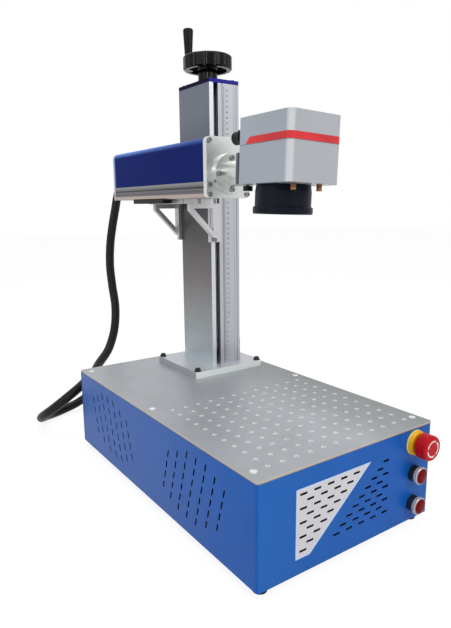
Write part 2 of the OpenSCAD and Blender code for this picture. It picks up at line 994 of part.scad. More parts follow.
module control_board() {
    color(board_green)
        translate([board_x, board_y, board_z]) {
            translate([0, 0, standoff_h + board_t / 2])
                cube([board_w, board_l, board_t], center = true);
            for (sx = [-1, 1], sy = [-1, 1])
                translate([sx * (board_w / 2 - standoff_in), sy * (board_l / 2 - standoff_in), 0])
                    cylinder(h = standoff_h + board_t / 2, d = standoff_d);
            translate([-chip_side, 0, standoff_h + board_t / 2])
                cube([chip_side, chip_side, chip_h]);
            for (i = [0 : 4])
                translate([i * plug_row_step - plug_row_x, over - board_l / 2, standoff_h + board_t / 2])
                    cube([plug_row_w, plug_row_h, plug_row_h]);
        }
}

module fan_frame() {
    color(near_black)
        translate([fan_x, rear_y - sheet_t, fan_z])
            rotate([90, 0, 0])
                difference() {
                    union() {
                        difference() {
                            rounded_block(fan_side, fan_side, fan_t, 5);
                            bore(fan_t, fan_bore);
                        }
                        for (a = [0, 120, 240])
                            rotate(a)
                                translate([0, -2.5, fan_t - 3])
                                    cube([fan_bore / 2 + 1, 5, 3]);
                        translate([0, 0, fan_t - 5])
                            cylinder(h = 5, d = fan_hub);
                    }
                    bore(5, 4 + 2 * run_gap, fan_t - 5);
                }
}

module fan_rotor() {
    color(dark_grey)
        translate([fan_x, rear_y - sheet_t, fan_z])
            rotate([90, 0, 0]) {
                translate([0, 0, 2])
                    cylinder(h = fan_t - 8, d = fan_hub);
                translate([0, 0, fan_t - 7])
                    cylinder(h = 6, d = 4);
                intersection() {
                    translate([0, 0, 3])
                        cylinder(h = fan_t - 10, d = fan_bore - 3);
                    for (i = [0 : blades - 1])
                        rotate(i * 360 / blades)
                            translate([fan_bore / 4, 0, fan_t / 2 - 2])
                                rotate([35, 0, 0])
                                    cube([fan_bore / 2, 30, 1.6], center = true);
                }
            }
}

module power_inlet() {
    color(near_black)
        translate([inlet_x, rear_y, inlet_z])
            difference() {
                union() {
                    translate([0, inlet_flange_t / 2, 0])
                        cube([inlet_w + 10, inlet_flange_t, inlet_h + 6], center = true);
                    translate([0, -inlet_in / 2 + 0.5, 0])
                        cube([inlet_w, inlet_in + 1, inlet_h], center = true);
                }
                difference() {
                    translate([0, inlet_flange_t + over - (socket_in + over) / 2, 0])
                        cube([socket_w, socket_in + over, socket_h], center = true);
                    for (p = [[-7, -2], [7, -2], [0, 3]])
                        translate([p[0], inlet_flange_t - socket_in + blade_len / 2 - over / 2, p[1]])
                            cube([2, blade_len + over, 4], center = true);
                }
            }
}

// A hose fitting that stands on a wall at y = 0 and reaches len out of it
module gland(len, wall) {
    difference() {
        union() {
            translate([0, len * 0.6, 0])
                rotate([90, 0, 0])
                    cylinder(h = len * 0.6, d = gland_hex, $fn = 6);
            translate([0, len, 0])
                rotate([90, 0, 0])
                    cylinder(h = len * 0.4 + over, d1 = hose_d + 2, d2 = gland_hex - 5);
            translate([0, over, 0])
                rotate([90, 0, 0])
                    cylinder(h = wall + 8 + over, d = gland_thread);
        }
        translate([0, len + over, 0])
            rotate([90, 0, 0])
                cylinder(h = len + wall + 12, d = gland_bore);
    }
}

module cabinet_gland() {
    color(near_black)
        translate([cabinet_gland_x, rear_y, cabinet_gland_z])
            gland(cabinet_fitting_len, sheet_t);
}

module column_foot_plate() {
    color(silver)
        difference() {
            translate([foot_plate_x, foot_plate_y, deck_z])
                rounded_block(foot_plate_w, foot_plate_l, foot_plate_t, 6);
            foot_bolt_places()
                bore(foot_plate_t, bolt_hole, deck_z);
        }
}

module column_bolts() {
    color(near_black) {
        foot_bolt_places() {
            translate([0, 0, column_z])
                socket_screw(bolt_head_d, bolt_head_h, bolt_d, foot_plate_t + plate_t + nut_h + 3);
            translate([0, 0, top_z - nut_h])
                difference() {
                    cylinder(h = nut_h, d = nut_d, $fn = 6);
                    bore(nut_h, bolt_d + 2 * run_gap);
                }
        }
        for (s = [-1, 1])
            translate([screw_x + column_w / 2 + clamp_t, column_y + s * clamp_w / 4, column_z + clamp_h / 2])
                rotate([0, 90, 0])
                    socket_screw(bolt_head_d, 4, bolt_d, clamp_t + column_wall);
    }
}

module column_section() {
    difference() {
        translate([slot_to, -column_d / 2])
            square([column_w - slot_to, column_d]);
        translate([slot_to - over, -column_d / 2 + column_wall])
            square([column_w - slot_to - column_wall + over, column_d - 2 * column_wall]);
        translate([scale_from, -column_d / 2 - over])
            square([scale_to - scale_from, scale_t + over]);
        for (s = [-1, 1]) {
            translate([29, s * column_d / 2])
                square([1.4, 2 * groove_d], center = true);
            translate([62, s * column_d / 2])
                square([1.4, 2 * groove_d], center = true);
        }
        translate([scale_from, column_d / 2 - scale_t])
            square([scale_to - scale_from, scale_t + over]);
    }
}

module column_profile() {
    color(silver)
        difference() {
            translate([left_x, column_y, column_z])
                linear_extrude(column_h)
                    column_section();
            for (s = [-1, 1])
                translate([screw_x + column_w / 2 - column_wall - over, column_y + s * clamp_w / 4,
                           column_z + clamp_h / 2])
                    rotate([0, 90, 0])
                        cylinder(h = column_wall + 2 * over, d = bolt_hole);
        }
}

module column_cover() {
    color(cover_grey)
        translate([left_x, column_y, column_z])
            linear_extrude(column_h)
                union() {
                    translate([0, -column_d / 2])
                        square([cover_wall, column_d]);
                    for (y = [-column_d / 2, column_d / 2 - cover_return_t])
                        translate([0, y])
                            square([slot_from, cover_return_t]);
                }
}

module column_cap() {
    color(cap_blue)
        difference() {
            translate([screw_x, column_y, column_top])
                rounded_block(column_w + 2 * cap_over, column_d + 2 * cap_over, cap_t, 2);
            translate([screw_x, column_y, column_top - over])
                cylinder(h = cap_t + 2 * over, d = journal_d + 2);
            for (sx = [-1, 1], sy = [-1, 1])
                translate([screw_x + sx * cap_screw_x, column_y + sy * cap_screw_y, column_top - over])
                    cylinder(h = cap_t + 2 * over, d = screw_hole4);
        }
}

module scale_strip() {
    color(bright)
        translate([left_x + scale_from, column_y - column_d / 2, column_z])
            cube([scale_to - scale_from, scale_t, column_h]);
}

module side_clamp() {
    color(silver)
        difference() {
            translate([screw_x + column_w / 2, column_y, column_z])
                rotate([90, 0, 90])
                    linear_extrude(clamp_t)
                        union() {
                            translate([-clamp_w / 2, 0])
                                square([clamp_w, clamp_h - 9]);
                            translate([-clamp_w / 2 + 9, 0])
                                square([clamp_w - 18, clamp_h]);
                            for (s = [-1, 1])
                                translate([s * (clamp_w / 2 - 9), clamp_h - 9])
                                    circle(9);
                        }
            for (s = [-1, 1])
                translate([screw_x + column_w / 2 - over, column_y + s * clamp_w / 4, column_z + clamp_h / 2])
                    rotate([0, 90, 0])
                        cylinder(h = clamp_t + 2 * over, d = bolt_hole);
        }
}

module guide_rods() {
    color(steel)
        for (s = [-1, 1])
            translate([screw_x, column_y + s * rod_off, column_z])
                cylinder(h = column_h, d = rod_d);
}

module screw_bearings() {
    color(dark_grey)
        for (z = [column_z, column_top - bearing_h])
            difference() {
                translate([screw_x, column_y, z])
                    rounded_block(bearing_side, bearing_side, bearing_h, bearing_r);
                translate([screw_x, column_y, z - over])
                    cylinder(h = bearing_h + 2 * over, d = journal_d + 2 * run_gap);
            }
}

module lift_screw() {
    color(steel)
        translate([screw_x, column_y, 0]) {
            translate([0, 0, column_z + free_gap])
                cylinder(h = hub_top - column_z - 4, d = journal_d);
            translate([0, 0, column_z + bearing_h + free_gap])
                cylinder(h = column_h - 2 * bearing_h - 2 * free_gap, d = screw_d);
        }
}

module rim_section() {
    difference() {
        circle(d = wheel_d);
        for (i = [0 : flutes - 1])
            rotate(i * 360 / flutes + crank_angle + 180 / flutes)
                translate([wheel_d / 2 + 2.6, 0])
                    circle(4.6);
    }
}

module handwheel() {
    color(near_black)
        translate([screw_x, column_y, 0])
            difference() {
                union() {
                    difference() {
                        intersection() {
                            translate([0, 0, rim_z])
                                linear_extrude(rim_h)
                                    rim_section();
                            union() {
                                translate([0, 0, rim_z + rim_edge])
                                    cylinder(h = rim_h - 2 * rim_edge, d = wheel_d + over);
                                translate([0, 0, rim_z])
                                    cylinder(h = rim_edge, d1 = wheel_d - 2 * rim_edge, d2 = wheel_d);
                                translate([0, 0, rim_top - rim_edge])
                                    cylinder(h = rim_edge, d1 = wheel_d, d2 = wheel_d - 2 * rim_edge);
                            }
                        }
                        bore(rim_h, wheel_d - 2 * rim_wall, rim_z);
                    }
                    difference() {
                        translate([0, 0, rim_z + web_up - web_t])
                            cylinder(h = web_t, d = wheel_d - 2 * rim_wall + 2);
                        for (i = [0 : spokes - 1])
                            rotate(crank_angle + (i + 0.5) * 360 / spokes)
                                translate([(hub_d + wheel_d) / 4 - 3, 0, rim_z])
                                    cylinder(h = rim_h, d = 13);
                    }
                    translate([0, 0, cap_z + hub_up])
                        cylinder(h = hub_top - cap_z - hub_up, d = hub_d);
                    translate([0, 0, rim_z])
                        cylinder(h = web_up - web_t + 1, d1 = hub_d, d2 = hub_d + 10);
                    rotate(crank_angle)
                        translate([crank_r, 0, rim_z])
                            cylinder(h = rim_h, d = crank_foot_d + 1);
                }
                translate([0, 0, cap_z])
                    cylinder(h = hub_top - cap_z - 4 + 2 * free_gap, d = journal_d + 2 * run_gap);
                rotate(crank_angle)
                    translate([crank_r, 0, rim_top - spindle_in])
                        cylinder(h = spindle_in + over, d = spindle_d + 2 * run_gap);
            }
}

module crank_place() {
    translate([screw_x, column_y, 0])
        rotate(crank_angle)
            translate([crank_r, 0, 0])
                children();
}

module handle_spindle() {
    color(steel)
        crank_place()
            translate([0, 0, rim_top - spindle_in + free_gap])
                cylinder(h = spindle_in + spindle_up, d = spindle_d);
}

module crank_handle() {
    color(near_black)
        crank_place()
            translate([0, 0, crank_z])
                difference() {
                    rotate_extrude()
                        union() {
                            polygon([[0, 0], [crank_foot_d / 2, 0], [crank_foot_d / 2, 2],
                                     [crank_d / 2, crank_len - 4], [0, crank_len - 4]]);
                            square([crank_d / 2 - 4, crank_len]);
                            intersection() {
                                translate([crank_d / 2 - 4, crank_len - 4])
                                    circle(4);
                                translate([0, crank_len - 5])
                                    square([crank_d, 6]);
                            }
                        }
                    translate([0, 0, -over])
                        cylinder(h = spindle_up + over + 1, d = spindle_d + 2 * run_gap);
                }
}

module carriage_block() {
    color(silver)
        difference() {
            translate([ear_x1, column_y - block_d / 2, carriage_z])
                cube([block_x1 - ear_x1, block_d, carriage_h]);
            for (s = [-1, 1])
                translate([screw_x, column_y + s * rod_off, carriage_z - over])
                    cylinder(h = carriage_h + 2 * over, d = rod_d + 2 * run_gap);
            translate([screw_x, column_y, carriage_z - over])
                cylinder(h = carriage_h + 2 * over, d = nut_bore + 2 * run_gap);
        }
}

module lift_nut() {
    color(brass)
        translate([screw_x, column_y, 0])
            difference() {
                union() {
                    translate([0, 0, carriage_top - 45])
                        cylinder(h = 45 + over, d = nut_bore);
                    translate([0, 0, carriage_top])
                        cylinder(h = nut_flange_h, d = nut_flange_d);
                }
                bore(45 + nut_flange_h, screw_d + 2 * run_gap, carriage_top - 45);
            }
}

// An angle that comes out of the slot and turns left along the column's face
module carriage_ears() {
    color(silver)
        for (s = [-1, 1])
            translate([0, column_y, 0])
                scale([1, s, 1])
                    difference() {
                        union() {
                            translate([ear_x0, -ear_out, carriage_z])
                                cube([ear_t, ear_out - column_d / 2 + ear_inner, carriage_h]);
                            translate([ear_left, -ear_out, carriage_z - ear_tail])
                                cube([ear_x1 - ear_left, ear_flange_t, carriage_h + ear_tail]);
                        }
                        translate([ear_left + tail_in, -ear_out - over, carriage_z - ear_tail + tail_up])
                            rotate([-90, 0, 0])
                                cylinder(h = ear_flange_t + 2 * over, d = tail_bolt_d + 0.4);
                    }
}

// The open triangle, drawn in X and Z from the top of the carriage
module bracket_shape() {
    foot = carriage_z - carriage_top;
    toe_x = bracket_right - bracket_toe;
    run = toe_x - bracket_left;
    drop = -bracket_end_h - foot;
    long = sqrt(run * run + drop * drop);
    shift_x = bracket_diag * drop / long;
    shift_z = bracket_diag * run / long;
    in_x = bracket_right - bracket_bar;
    line_z = -bracket_end_h + shift_z - (in_x - bracket_left - shift_x) * drop / run;
    line_x = bracket_left + shift_x + (bracket_bar - bracket_end_h + shift_z) * run / drop;
    difference() {
        polygon([[bracket_left, 0], [bracket_right, 0], [bracket_right, foot], [toe_x, foot],
                 [bracket_left, -bracket_end_h]]);
        polygon([[line_x, -bracket_bar], [in_x, -bracket_bar], [in_x, line_z]]);
    }
}

module arm_brackets() {
    color(silver)
        for (s = [-1, 1])
            translate([0, column_y + s * (ear_out + bracket_t / 2), carriage_top])
                rotate([90, 0, 0])
                    translate([0, 0, -bracket_t / 2])
                        linear_extrude(bracket_t)
                            bracket_shape();
}

module notch_places() {
    for (x = [notch_x, bracket_right - notch_end])
        for (s = [-1, 1])
            translate([x, column_y + s * (bracket_y - notch_in), mount_z])
                children();
    for (s = [-1, 1])
        translate([mount_left + notch_in, column_y + s * notch_y, mount_z])
            children();
}

module arm_mount_plate() {
    color(silver)
        difference() {
            translate([mount_left, column_y - bracket_y, mount_z])
                cube([bracket_right - mount_left, 2 * bracket_y, mount_plate_t]);
            translate([left_x - cover_gap, column_y - column_d / 2 - cover_gap, mount_z - over])
                cube([bracket_right, column_d + 2 * cover_gap, mount_plate_t + 2 * over]);
            notch_places()
                bore(mount_plate_t, mount_notch_d);
        }
}

module arm_access_cover() {
    color(near_black)
        translate([access_x, access_y, arm_z - access_t])
            cube([access_w, access_l, access_t]);
}

module rail_section() {
    difference() {
        union() {
            translate([-arm_w / 2, rail_r])
                square([arm_w, rail_h - rail_r]);
            translate([-arm_w / 2 + rail_r, 0])
                square([arm_w - 2 * rail_r, rail_h]);
            for (s = [-1, 1])
                translate([s * (arm_w / 2 - rail_r), rail_r])
                    circle(rail_r);
        }
        translate([-arm_w / 2 + rail_wall, rail_wall])
            square([arm_w - 2 * rail_wall, rail_h]);
        for (s = [-1, 1], z = [0.4, 0.68])
            translate([s * arm_w / 2, rail_h * z])
                square([2 * groove_in, groove_h], center = true);
    }
}

module arm_base() {
    color(silver)
        translate([beam_x, 0, arm_z])
            y_extrude(arm_y, arm_end)
                rail_section();
}

module arm_shape(w, h, r) {
    translate([-w / 2, 0])
        square([w, h - r]);
    translate([-w / 2 + r, 0])
        square([w - 2 * r, h]);
    for (s = [-1, 1])
        translate([s * (w / 2 - r), h - r])
            circle(r);
}

module arm_cover() {
    color(arm_navy)
        translate([beam_x, 0, arm_z + rail_h])
            y_extrude(arm_y, arm_end)
                difference() {
                    arm_shape(arm_w, arm_h - rail_h, arm_r);
                    translate([0, -over])
                        arm_shape(arm_w - 2 * arm_wall, arm_h - rail_h - arm_wall + over, arm_r - arm_wall);
                }
}

module arm_end_cap() {
    color(silver)
        difference() {
            translate([beam_x, 0, arm_z])
                y_extrude(arm_end, arm_end + end_cap_t)
                    arm_shape(arm_w, arm_h, arm_r);
            y_bar(arm_gland_x, arm_gland_z, arm_end - over, arm_end + end_cap_t + over,
                  gland_thread + 0.4);
        }
}

module flange_bolt_places() {
    for (s = [-1, 1], z = [flange_z + flange_bolt_in, flange_z + flange_bolt_in + flange_bolt_step,
                           flange_z + flange_h - flange_bolt_in])
        translate([beam_x + s * flange_bolt_x, 0, z])
            rotate([90, 0, 0])
                children();
}

module ring_bolt_places() {
    for (a = [0, 90, 180, 270])
        translate([beam_x + ring_bolt_r * cos(a), -ring_t, beam_z + ring_bolt_r * sin(a)])
            rotate([90, 0, 0])
                children();
}

module arm_flange() {
    color(bright)
        difference() {
            y_extrude(0, flange_t)
                translate([beam_x, flange_z + flange_h / 2])
                    rounded_rect(flange_w, flange_h, flange_r);
            y_bar(beam_x, beam_z, -over, flange_t + over, spigot_d + 0.2);
            flange_bolt_places()
                bore(flange_t, front_bolt_d + 0.4, -flange_t);
            ring_bolt_places()
                bore(flange_t, front_bolt_d + 0.4, -ring_t - flange_t);
        }
}

module arm_screws() {
    color(steel) {
        flange_bolt_places()
            socket_screw(front_head_d, front_head_h, front_bolt_d, flange_t);
        ring_bolt_places()
            socket_screw(front_head_d, front_head_h, front_bolt_d, ring_t + flange_t);
        for (s = [-1, 1])
            translate([ear_left + tail_in, column_y + s * ear_out, carriage_z - ear_tail + tail_up])
                rotate([s * -90, 0, 0])
                    socket_screw(tail_head_d, tail_head_h, tail_bolt_d, ear_flange_t);
        notch_places()
            cylinder(h = mount_plate_t, d = notch_screw_d);
    }
}

module beam_tube() {
    color(bright)
        difference() {
            union() {
                y_cylinder(beam_x, beam_z, -ring_t, 0, ring_d - 2, ring_d);
                y_bar(beam_x, beam_z, tube_front, 0, tube_d);
                y_bar(beam_x, beam_z, -over, spigot_len, spigot_d);
            }
            y_bar(beam_x, beam_z, tube_front - over, spigot_len + over, tube_bore);
            ring_bolt_places()
                bore(ring_t, front_bolt_d + 0.4, -ring_t);
        }
}

module collimator() {
    color(dark_grey)
        difference() {
            union() {
                y_bar(mirror_x_at, beam_z, flange_t, flange_t + collimator_l, collimator_d);
                translate([mirror_x_at - saddle_w / 2, flange_t + saddle_in, arm_z + rail_wall])
                    cube([saddle_w, saddle_l, beam_up - rail_wall]);
            }
            y_bar(mirror_x_at, beam_z, flange_t - over, flange_t + collimator_l + over,
                  collimator_bore);
        }
}

module arm_gland() {
    color(near_black)
        translate([arm_gland_x, arm_end + end_cap_t, arm_gland_z])
            gland(arm_fitting_len, end_cap_t);
}

function unit(v) = v / norm(v);
function hose_dir(i) =
    i == 0 ? [0, 1, 0]
    : i == len(hose_route) - 1 ? [0, -1, 0]
    : unit(unit(hose_route[i] - hose_route[i - 1]) + unit(hose_route[i + 1] - hose_route[i]));
function hose_side(i) =
    i == 0 ? [1, 0, 0]
    : let (d = hose_dir(i), s = hose_side(i - 1)) unit(s - (s * d) * d);
function hose_ring(i) =
    let (d = hose_dir(i), a = hose_side(i), b = cross(d, a))
        [for (k = [0 : hose_sides - 1])
            hose_route[i] + hose_d / 2 * (cos(360 * k / hose_sides) * a + sin(360 * k / hose_sides) * b)];

module hose() {
    rings = len(hose_route);
    points = [for (i = [0 : rings - 1]) each hose_ring(i)];
    walls = [for (i = [0 : rings - 2], k = [0 : hose_sides - 1])
        let (n = (k + 1) % hose_sides, p = i * hose_sides, q = p + hose_sides)
            [[p + k, q + k, q + n], [p + k, q + n, p + n]]];
    ends = [
        [for (k = [0 : hose_sides - 1]) k],
        [for (k = [hose_sides - 1 : -1 : 0]) (rings - 1) * hose_sides + k]
    ];
    color(rubber_black)
        polyhedron(points = points, faces = concat([for (w = walls) each w], ends));
}

// Everything on the head turns about the beam by the same small angle
module head_turned() {
    translate([beam_x, 0, beam_z])
        rotate([0, head_roll, 0])
            translate([-beam_x, 0, -beam_z])
                children();
}

module head_back_plate() {
    color(dark_grey) head_turned()
        difference() {
            y_extrude(head_rear, tube_front)
                translate([beam_x, head_z + plate_inset + back_plate_h / 2])
                    rounded_rect(back_plate_w, back_plate_h, back_plate_r);
            y_bar(beam_x, beam_z, head_rear - over, tube_front + over, tube_bore);
        }
}

module head_block(z, h, inset, r) {
    translate([beam_x, (head_front + head_rear) / 2, z])
        rounded_block(head_w - 2 * inset, head_l - 2 * inset, h, r);
}

module head_housing() {
    color(head_grey) head_turned()
        difference() {
            head_block(head_z, housing_h, 0, head_r);
            head_block(head_z + housing_wall, housing_h, housing_wall, head_r - housing_wall);
            translate([beam_x, lens_y, head_z - over])
                cylinder(h = housing_wall + 2 * over, d = neck_hole);
            y_bar(beam_x, beam_z, head_rear - housing_wall - over, head_rear + over, tube_bore);
            for (x = [pointer_x1, pointer_x2])
                translate([x, pointer_y, head_z - over])
                    cylinder(h = housing_wall + 2 * over, d = pointer_d + 2 * run_gap);
        }
}

module pointers() {
    color(brass) head_turned()
        for (x = [pointer_x1, pointer_x2])
            translate([x, pointer_y, head_z - pointer_out])
                difference() {
                    cylinder(h = pointer_len, d = pointer_d);
                    translate([0, 0, -over])
                        cylinder(h = pointer_len - 4, d = pointer_d / 2);
                }
}

module head_cover() {
    color(head_grey) head_turned()
        difference() {
            head_block(seam_z, cover_h, 0, head_r);
            head_block(seam_z - over, cover_h - housing_wall + over, housing_wall, head_r - housing_wall);
        }
}

// The connector on the cover's rear and the locking knob under the back plate
module head_fittings() {
    color(near_black) head_turned() {
        y_cylinder(plug_x, plug_z, head_rear, head_rear + plug_len, plug_d - 4, plug_d);
        y_bar(plug_x, plug_z, head_rear, head_rear + 6, plug_d + 4);
        translate([lock_x, head_rear + back_plate_t / 2, head_z + plate_inset - lock_h]) {
            cylinder(h = lock_h - lock_neck_h, d = lock_d);
            cylinder(h = lock_h, d = lock_neck_d);
        }
    }
}

// The bridge over the mirrors, both scan motors and the shelf that holds them
module scan_motors() {
    color(dark_grey) head_turned()
        difference() {
            union() {
                translate([beam_x - shelf_w / 2, shelf_y - shelf_t, head_z + housing_wall])
                    cube([shelf_w, shelf_t, bridge_z + bridge_t - head_z - housing_wall]);
                translate([beam_x - shelf_w / 2, shelf_y - shelf_t, bridge_z])
                    cube([shelf_w, bridge_l, bridge_t]);
                translate([mirror_x_at, lens_y, bridge_z + bridge_t - over])
                    cylinder(h = head_top - housing_wall - bridge_z - bridge_t - 2, d = motor_d);
                y_bar(beam_x, beam_z, head_front + housing_wall + 2, shelf_y - shelf_t + over,
                      motor_d);
            }
            translate([mirror_x_at, lens_y, bridge_z - over])
                cylinder(h = bridge_t + 12, d = shaft_hole);
            y_bar(beam_x, beam_z, shelf_y - shelf_t - 12, shelf_y + over, shaft_hole);
        }
}

module mirror_x() {
    color(steel) head_turned()
        translate([mirror_x_at, lens_y, 0]) {
            translate([0, 0, beam_z])
                cylinder(h = bridge_z + bridge_t + 8 - beam_z, d = shaft_d);
            translate([0, 0, beam_z])
                rotate(45)
                    cube([mirror_t, mirror_a, mirror_a], center = true);
        }
}

module mirror_y() {
    color(steel) head_turned() {
        y_bar(beam_x, beam_z, shelf_y - shelf_t - 8, lens_y, shaft_d);
        translate([beam_x, lens_y, beam_z])
            rotate([0, -45, 0])
                cube([mirror_t, mirror_b, mirror_a], center = true);
    }
}

module lens_barrel() {
    color(near_black) head_turned()
        translate([beam_x, lens_y, 0])
            difference() {
                union() {
                    translate([0, 0, barrel_z])
                        cylinder(h = barrel_h - 10, d = barrel_d);
                    translate([0, 0, head_z - 10])
                        cylinder(h = 9.5, d1 = barrel_d, d2 = barrel_d - 3);
                    translate([0, 0, head_z - 0.5 - over])
                        cylinder(h = over + 0.5, d = barrel_d - 3);
                    translate([0, 0, head_z - over])
                        cylinder(h = housing_wall + over - 0.5, d = neck_d);
                    translate([0, 0, mouth_z + 3 + glass_t + 0.3])
                        cylinder(h = mouth_h - 3 - glass_t - 0.3 + over, d = glass_d);
                }
                translate([0, 0, mouth_z])
                    cylinder(h = barrel_h + mouth_h + housing_wall + over, d = barrel_bore - 6);
                translate([0, 0, mouth_z])
                    cylinder(h = mouth_h + 12, d = barrel_bore);
            }
}

module lens_ring() {
    color(near_black) head_turned()
        translate([beam_x, lens_y, mouth_z])
            difference() {
                union() {
                    cylinder(h = 1.5, d1 = mouth_d - 3, d2 = mouth_d);
                    translate([0, 0, 1.5])
                        cylinder(h = mouth_h - 3, d = mouth_d);
                    translate([0, 0, mouth_h - 1.5])
                        cylinder(h = 1.5, d1 = mouth_d, d2 = mouth_d - 3);
                }
                bore(mouth_h, glass_seat);
                translate([0, 0, 3])
                    cylinder(h = mouth_h, d = glass_d + 0.2);
            }
}

module lens_glass() {
    color(glass_tint) head_turned()
        translate([beam_x, lens_y, 0]) {
            translate([0, 0, mouth_z + 3])
                cylinder(h = glass_t, d = glass_d);
            translate([0, 0, mouth_z + mouth_h + 4])
                cylinder(h = 8, d = element_d + 1.8);
        }
}

cabinet_shell();
bottom_plate();
rear_panel();
case_screws();
worktop();
feet();
vent_plate();
stop_collar();
stop_stem();
stop_head();
contact_blocks();
button_bezels();
upper_button_cap();
lower_button_cap();
laser_source();
power_supply();
control_board();
fan_frame();
fan_rotor();
power_inlet();
cabinet_gland();
column_foot_plate();
column_bolts();
column_profile();
column_cover();
column_cap();
scale_strip();
side_clamp();
guide_rods();
screw_bearings();
lift_screw();
handwheel();
handle_spindle();
crank_handle();
carriage_block();
lift_nut();
carriage_ears();
arm_brackets();
arm_mount_plate();
arm_base();
arm_cover();
arm_end_cap();
arm_access_cover();
arm_flange();
arm_screws();
beam_tube();
collimator();
arm_gland();
hose();
head_back_plate();
head_housing();
head_cover();
head_fittings();
pointers();
scan_motors();
mirror_x();
mirror_y();
lens_barrel();
lens_ring();
lens_glass();
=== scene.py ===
"""Finishes, small pieces, hose, floor, lights and camera for the laser marking machine."""

import math

import bpy
from mathutils import Matrix, Vector


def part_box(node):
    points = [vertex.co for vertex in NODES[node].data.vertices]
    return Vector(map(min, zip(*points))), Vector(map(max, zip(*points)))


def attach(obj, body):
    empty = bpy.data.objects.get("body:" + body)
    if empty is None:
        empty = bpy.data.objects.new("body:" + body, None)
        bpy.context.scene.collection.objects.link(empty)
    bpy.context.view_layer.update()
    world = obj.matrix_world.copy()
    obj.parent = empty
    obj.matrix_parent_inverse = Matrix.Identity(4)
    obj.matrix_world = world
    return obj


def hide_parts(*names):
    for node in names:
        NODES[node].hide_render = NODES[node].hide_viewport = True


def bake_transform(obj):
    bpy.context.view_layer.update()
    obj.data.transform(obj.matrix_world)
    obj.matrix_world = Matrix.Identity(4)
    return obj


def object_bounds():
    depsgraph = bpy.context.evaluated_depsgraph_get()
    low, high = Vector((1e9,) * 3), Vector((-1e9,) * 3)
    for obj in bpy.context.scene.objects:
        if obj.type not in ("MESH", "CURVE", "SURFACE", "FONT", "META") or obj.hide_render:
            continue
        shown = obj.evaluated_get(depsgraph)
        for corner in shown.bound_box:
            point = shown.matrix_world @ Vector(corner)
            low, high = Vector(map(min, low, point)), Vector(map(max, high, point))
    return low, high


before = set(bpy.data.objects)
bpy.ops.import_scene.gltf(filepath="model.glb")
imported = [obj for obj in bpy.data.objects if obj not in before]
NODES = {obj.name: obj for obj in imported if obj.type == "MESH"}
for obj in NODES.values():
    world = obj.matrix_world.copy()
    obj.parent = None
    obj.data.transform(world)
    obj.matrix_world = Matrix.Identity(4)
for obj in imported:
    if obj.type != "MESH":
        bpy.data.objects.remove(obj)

bl_info = {
    "name": "Laser marking machine",
    "version": (1, 0, 0),
    "blender": (4, 5, 0),
    "location": "View3D > Sidebar > Machine",
    "description": "Finishes and small pieces for the machine's solids, and a stage",
    "category": "Object",
}

MM = 0.001
CAD_BOX = [list(corner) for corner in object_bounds()]

# The camera's direction round the machine, its height above the horizon and its roll in
# degrees, its place in metres, and its focal length and the width of its film in millimetres
CAMERA_AZIMUTH = -34.612
CAMERA_ELEVATION = 10.93
CAMERA_ROLL = -0.538
CAMERA_PLACE = (-0.55922, -0.79432, 0.49708)
CAMERA_LENS = 32.05
CAMERA_FILM = 36

# The round lamps: name, place, the point aimed at, diameter and power in watts
LAMPS = (
    ("key_lamp", (0.5, -2.1, 1.7), (0, 0, 0.35), 1.6, 18),
    ("side_lamp", (-2.2, -0.3, 1.2), (0, 0, 0.35), 1.4, 6),
    ("top_lamp", (-0.2, 0.3, 2.4), (0, 0, 0.3), 1.8, 13),
    ("camera_lamp", (-1.5, -1.75, 1.38), (0, 0, 0.45), 0.24, 5),
)

# The hose's route in millimetres, from the fitting on the arm to the fitting on the cabinet
HOSE_ROUTE = [
    (9, 394, 570), (9, 404, 570), (9, 432, 565), (9, 458, 549), (7, 477, 522), (3, 485, 490),
    (-4, 490, 450), (-10, 494, 405), (-13, 494, 355), (-12, 488, 305), (-12, 476, 255),
    (-24, 460, 205), (-50, 439, 163), (-86, 413, 139), (-116, 379, 127), (-154, 360, 109),
    (-189, 362, 86), (-213, 381, 62), (-224, 411, 41), (-218, 446, 24), (-196, 478, 14),
    (-159, 499, 11), (-112, 503, 22), (-68, 491, 46), (-24, 466, 57), (5, 425, 67),
    (16, 376, 71), (18, 334, 72), (18, 320, 72),
]
HOSE_STEPS = 8
HOSE_SIDES = 24

# Corners of solids that more than one finish or piece is placed by
SCALE_LOW, SCALE_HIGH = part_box("scale_strip")
VENT_LOW, VENT_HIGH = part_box("vent_plate")
HEAD_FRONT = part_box("head_housing")[0].y

# The lift screw's axis in x and y, and the x of the vent plate's lower right corner
SCREW_AXIS = (79 * MM, 184 * MM)
VENT_TOE = -83.3 * MM

# The bend in degrees from which an edge of a smooth piece stays sharp
SHARP_FROM = 38

# The beam's axis, the head's turn about it in degrees, and the head's own sizes before that turn
BEAM = Vector((-2 * MM, 0, 550 * MM))
HEAD_ROLL = 2.3
HEAD_HALF = 49 * MM
HEAD_CORNER = 10 * MM
SEAM = 583 * MM

# The worktop's holes: the first one's centre, their distance, their count and their radius
GRID_START = (-132.5 * MM, -269 * MM)
GRID_PITCH = 25 * MM
GRID_COUNT = (12, 11)
HOLE_RADIUS = 2.5 * MM


def linear(level):
    """A screen level from 0 to 255 as scene light."""
    share = level / 255
    return share / 12.92 if share <= 0.04045 else ((share + 0.055) / 1.055) ** 2.4


def screen(*levels):
    """A colour written as its three screen levels."""
    return tuple(linear(level) for level in levels)


def colour(name, description, red, green, blue):
    """A colour that the panel shows, written as its three screen levels."""
    return bpy.props.FloatVectorProperty(
        name=name, description=description, subtype="COLOR", size=3, min=0, max=1,
        default=screen(red, green, blue),
    )


def length(name, description, millimetres):
    """A length that the panel shows, written in millimetres."""
    return bpy.props.FloatProperty(
        name=name, description=description, subtype="DISTANCE", unit="LENGTH", min=0, precision=4,
        default=millimetres * MM,
    )


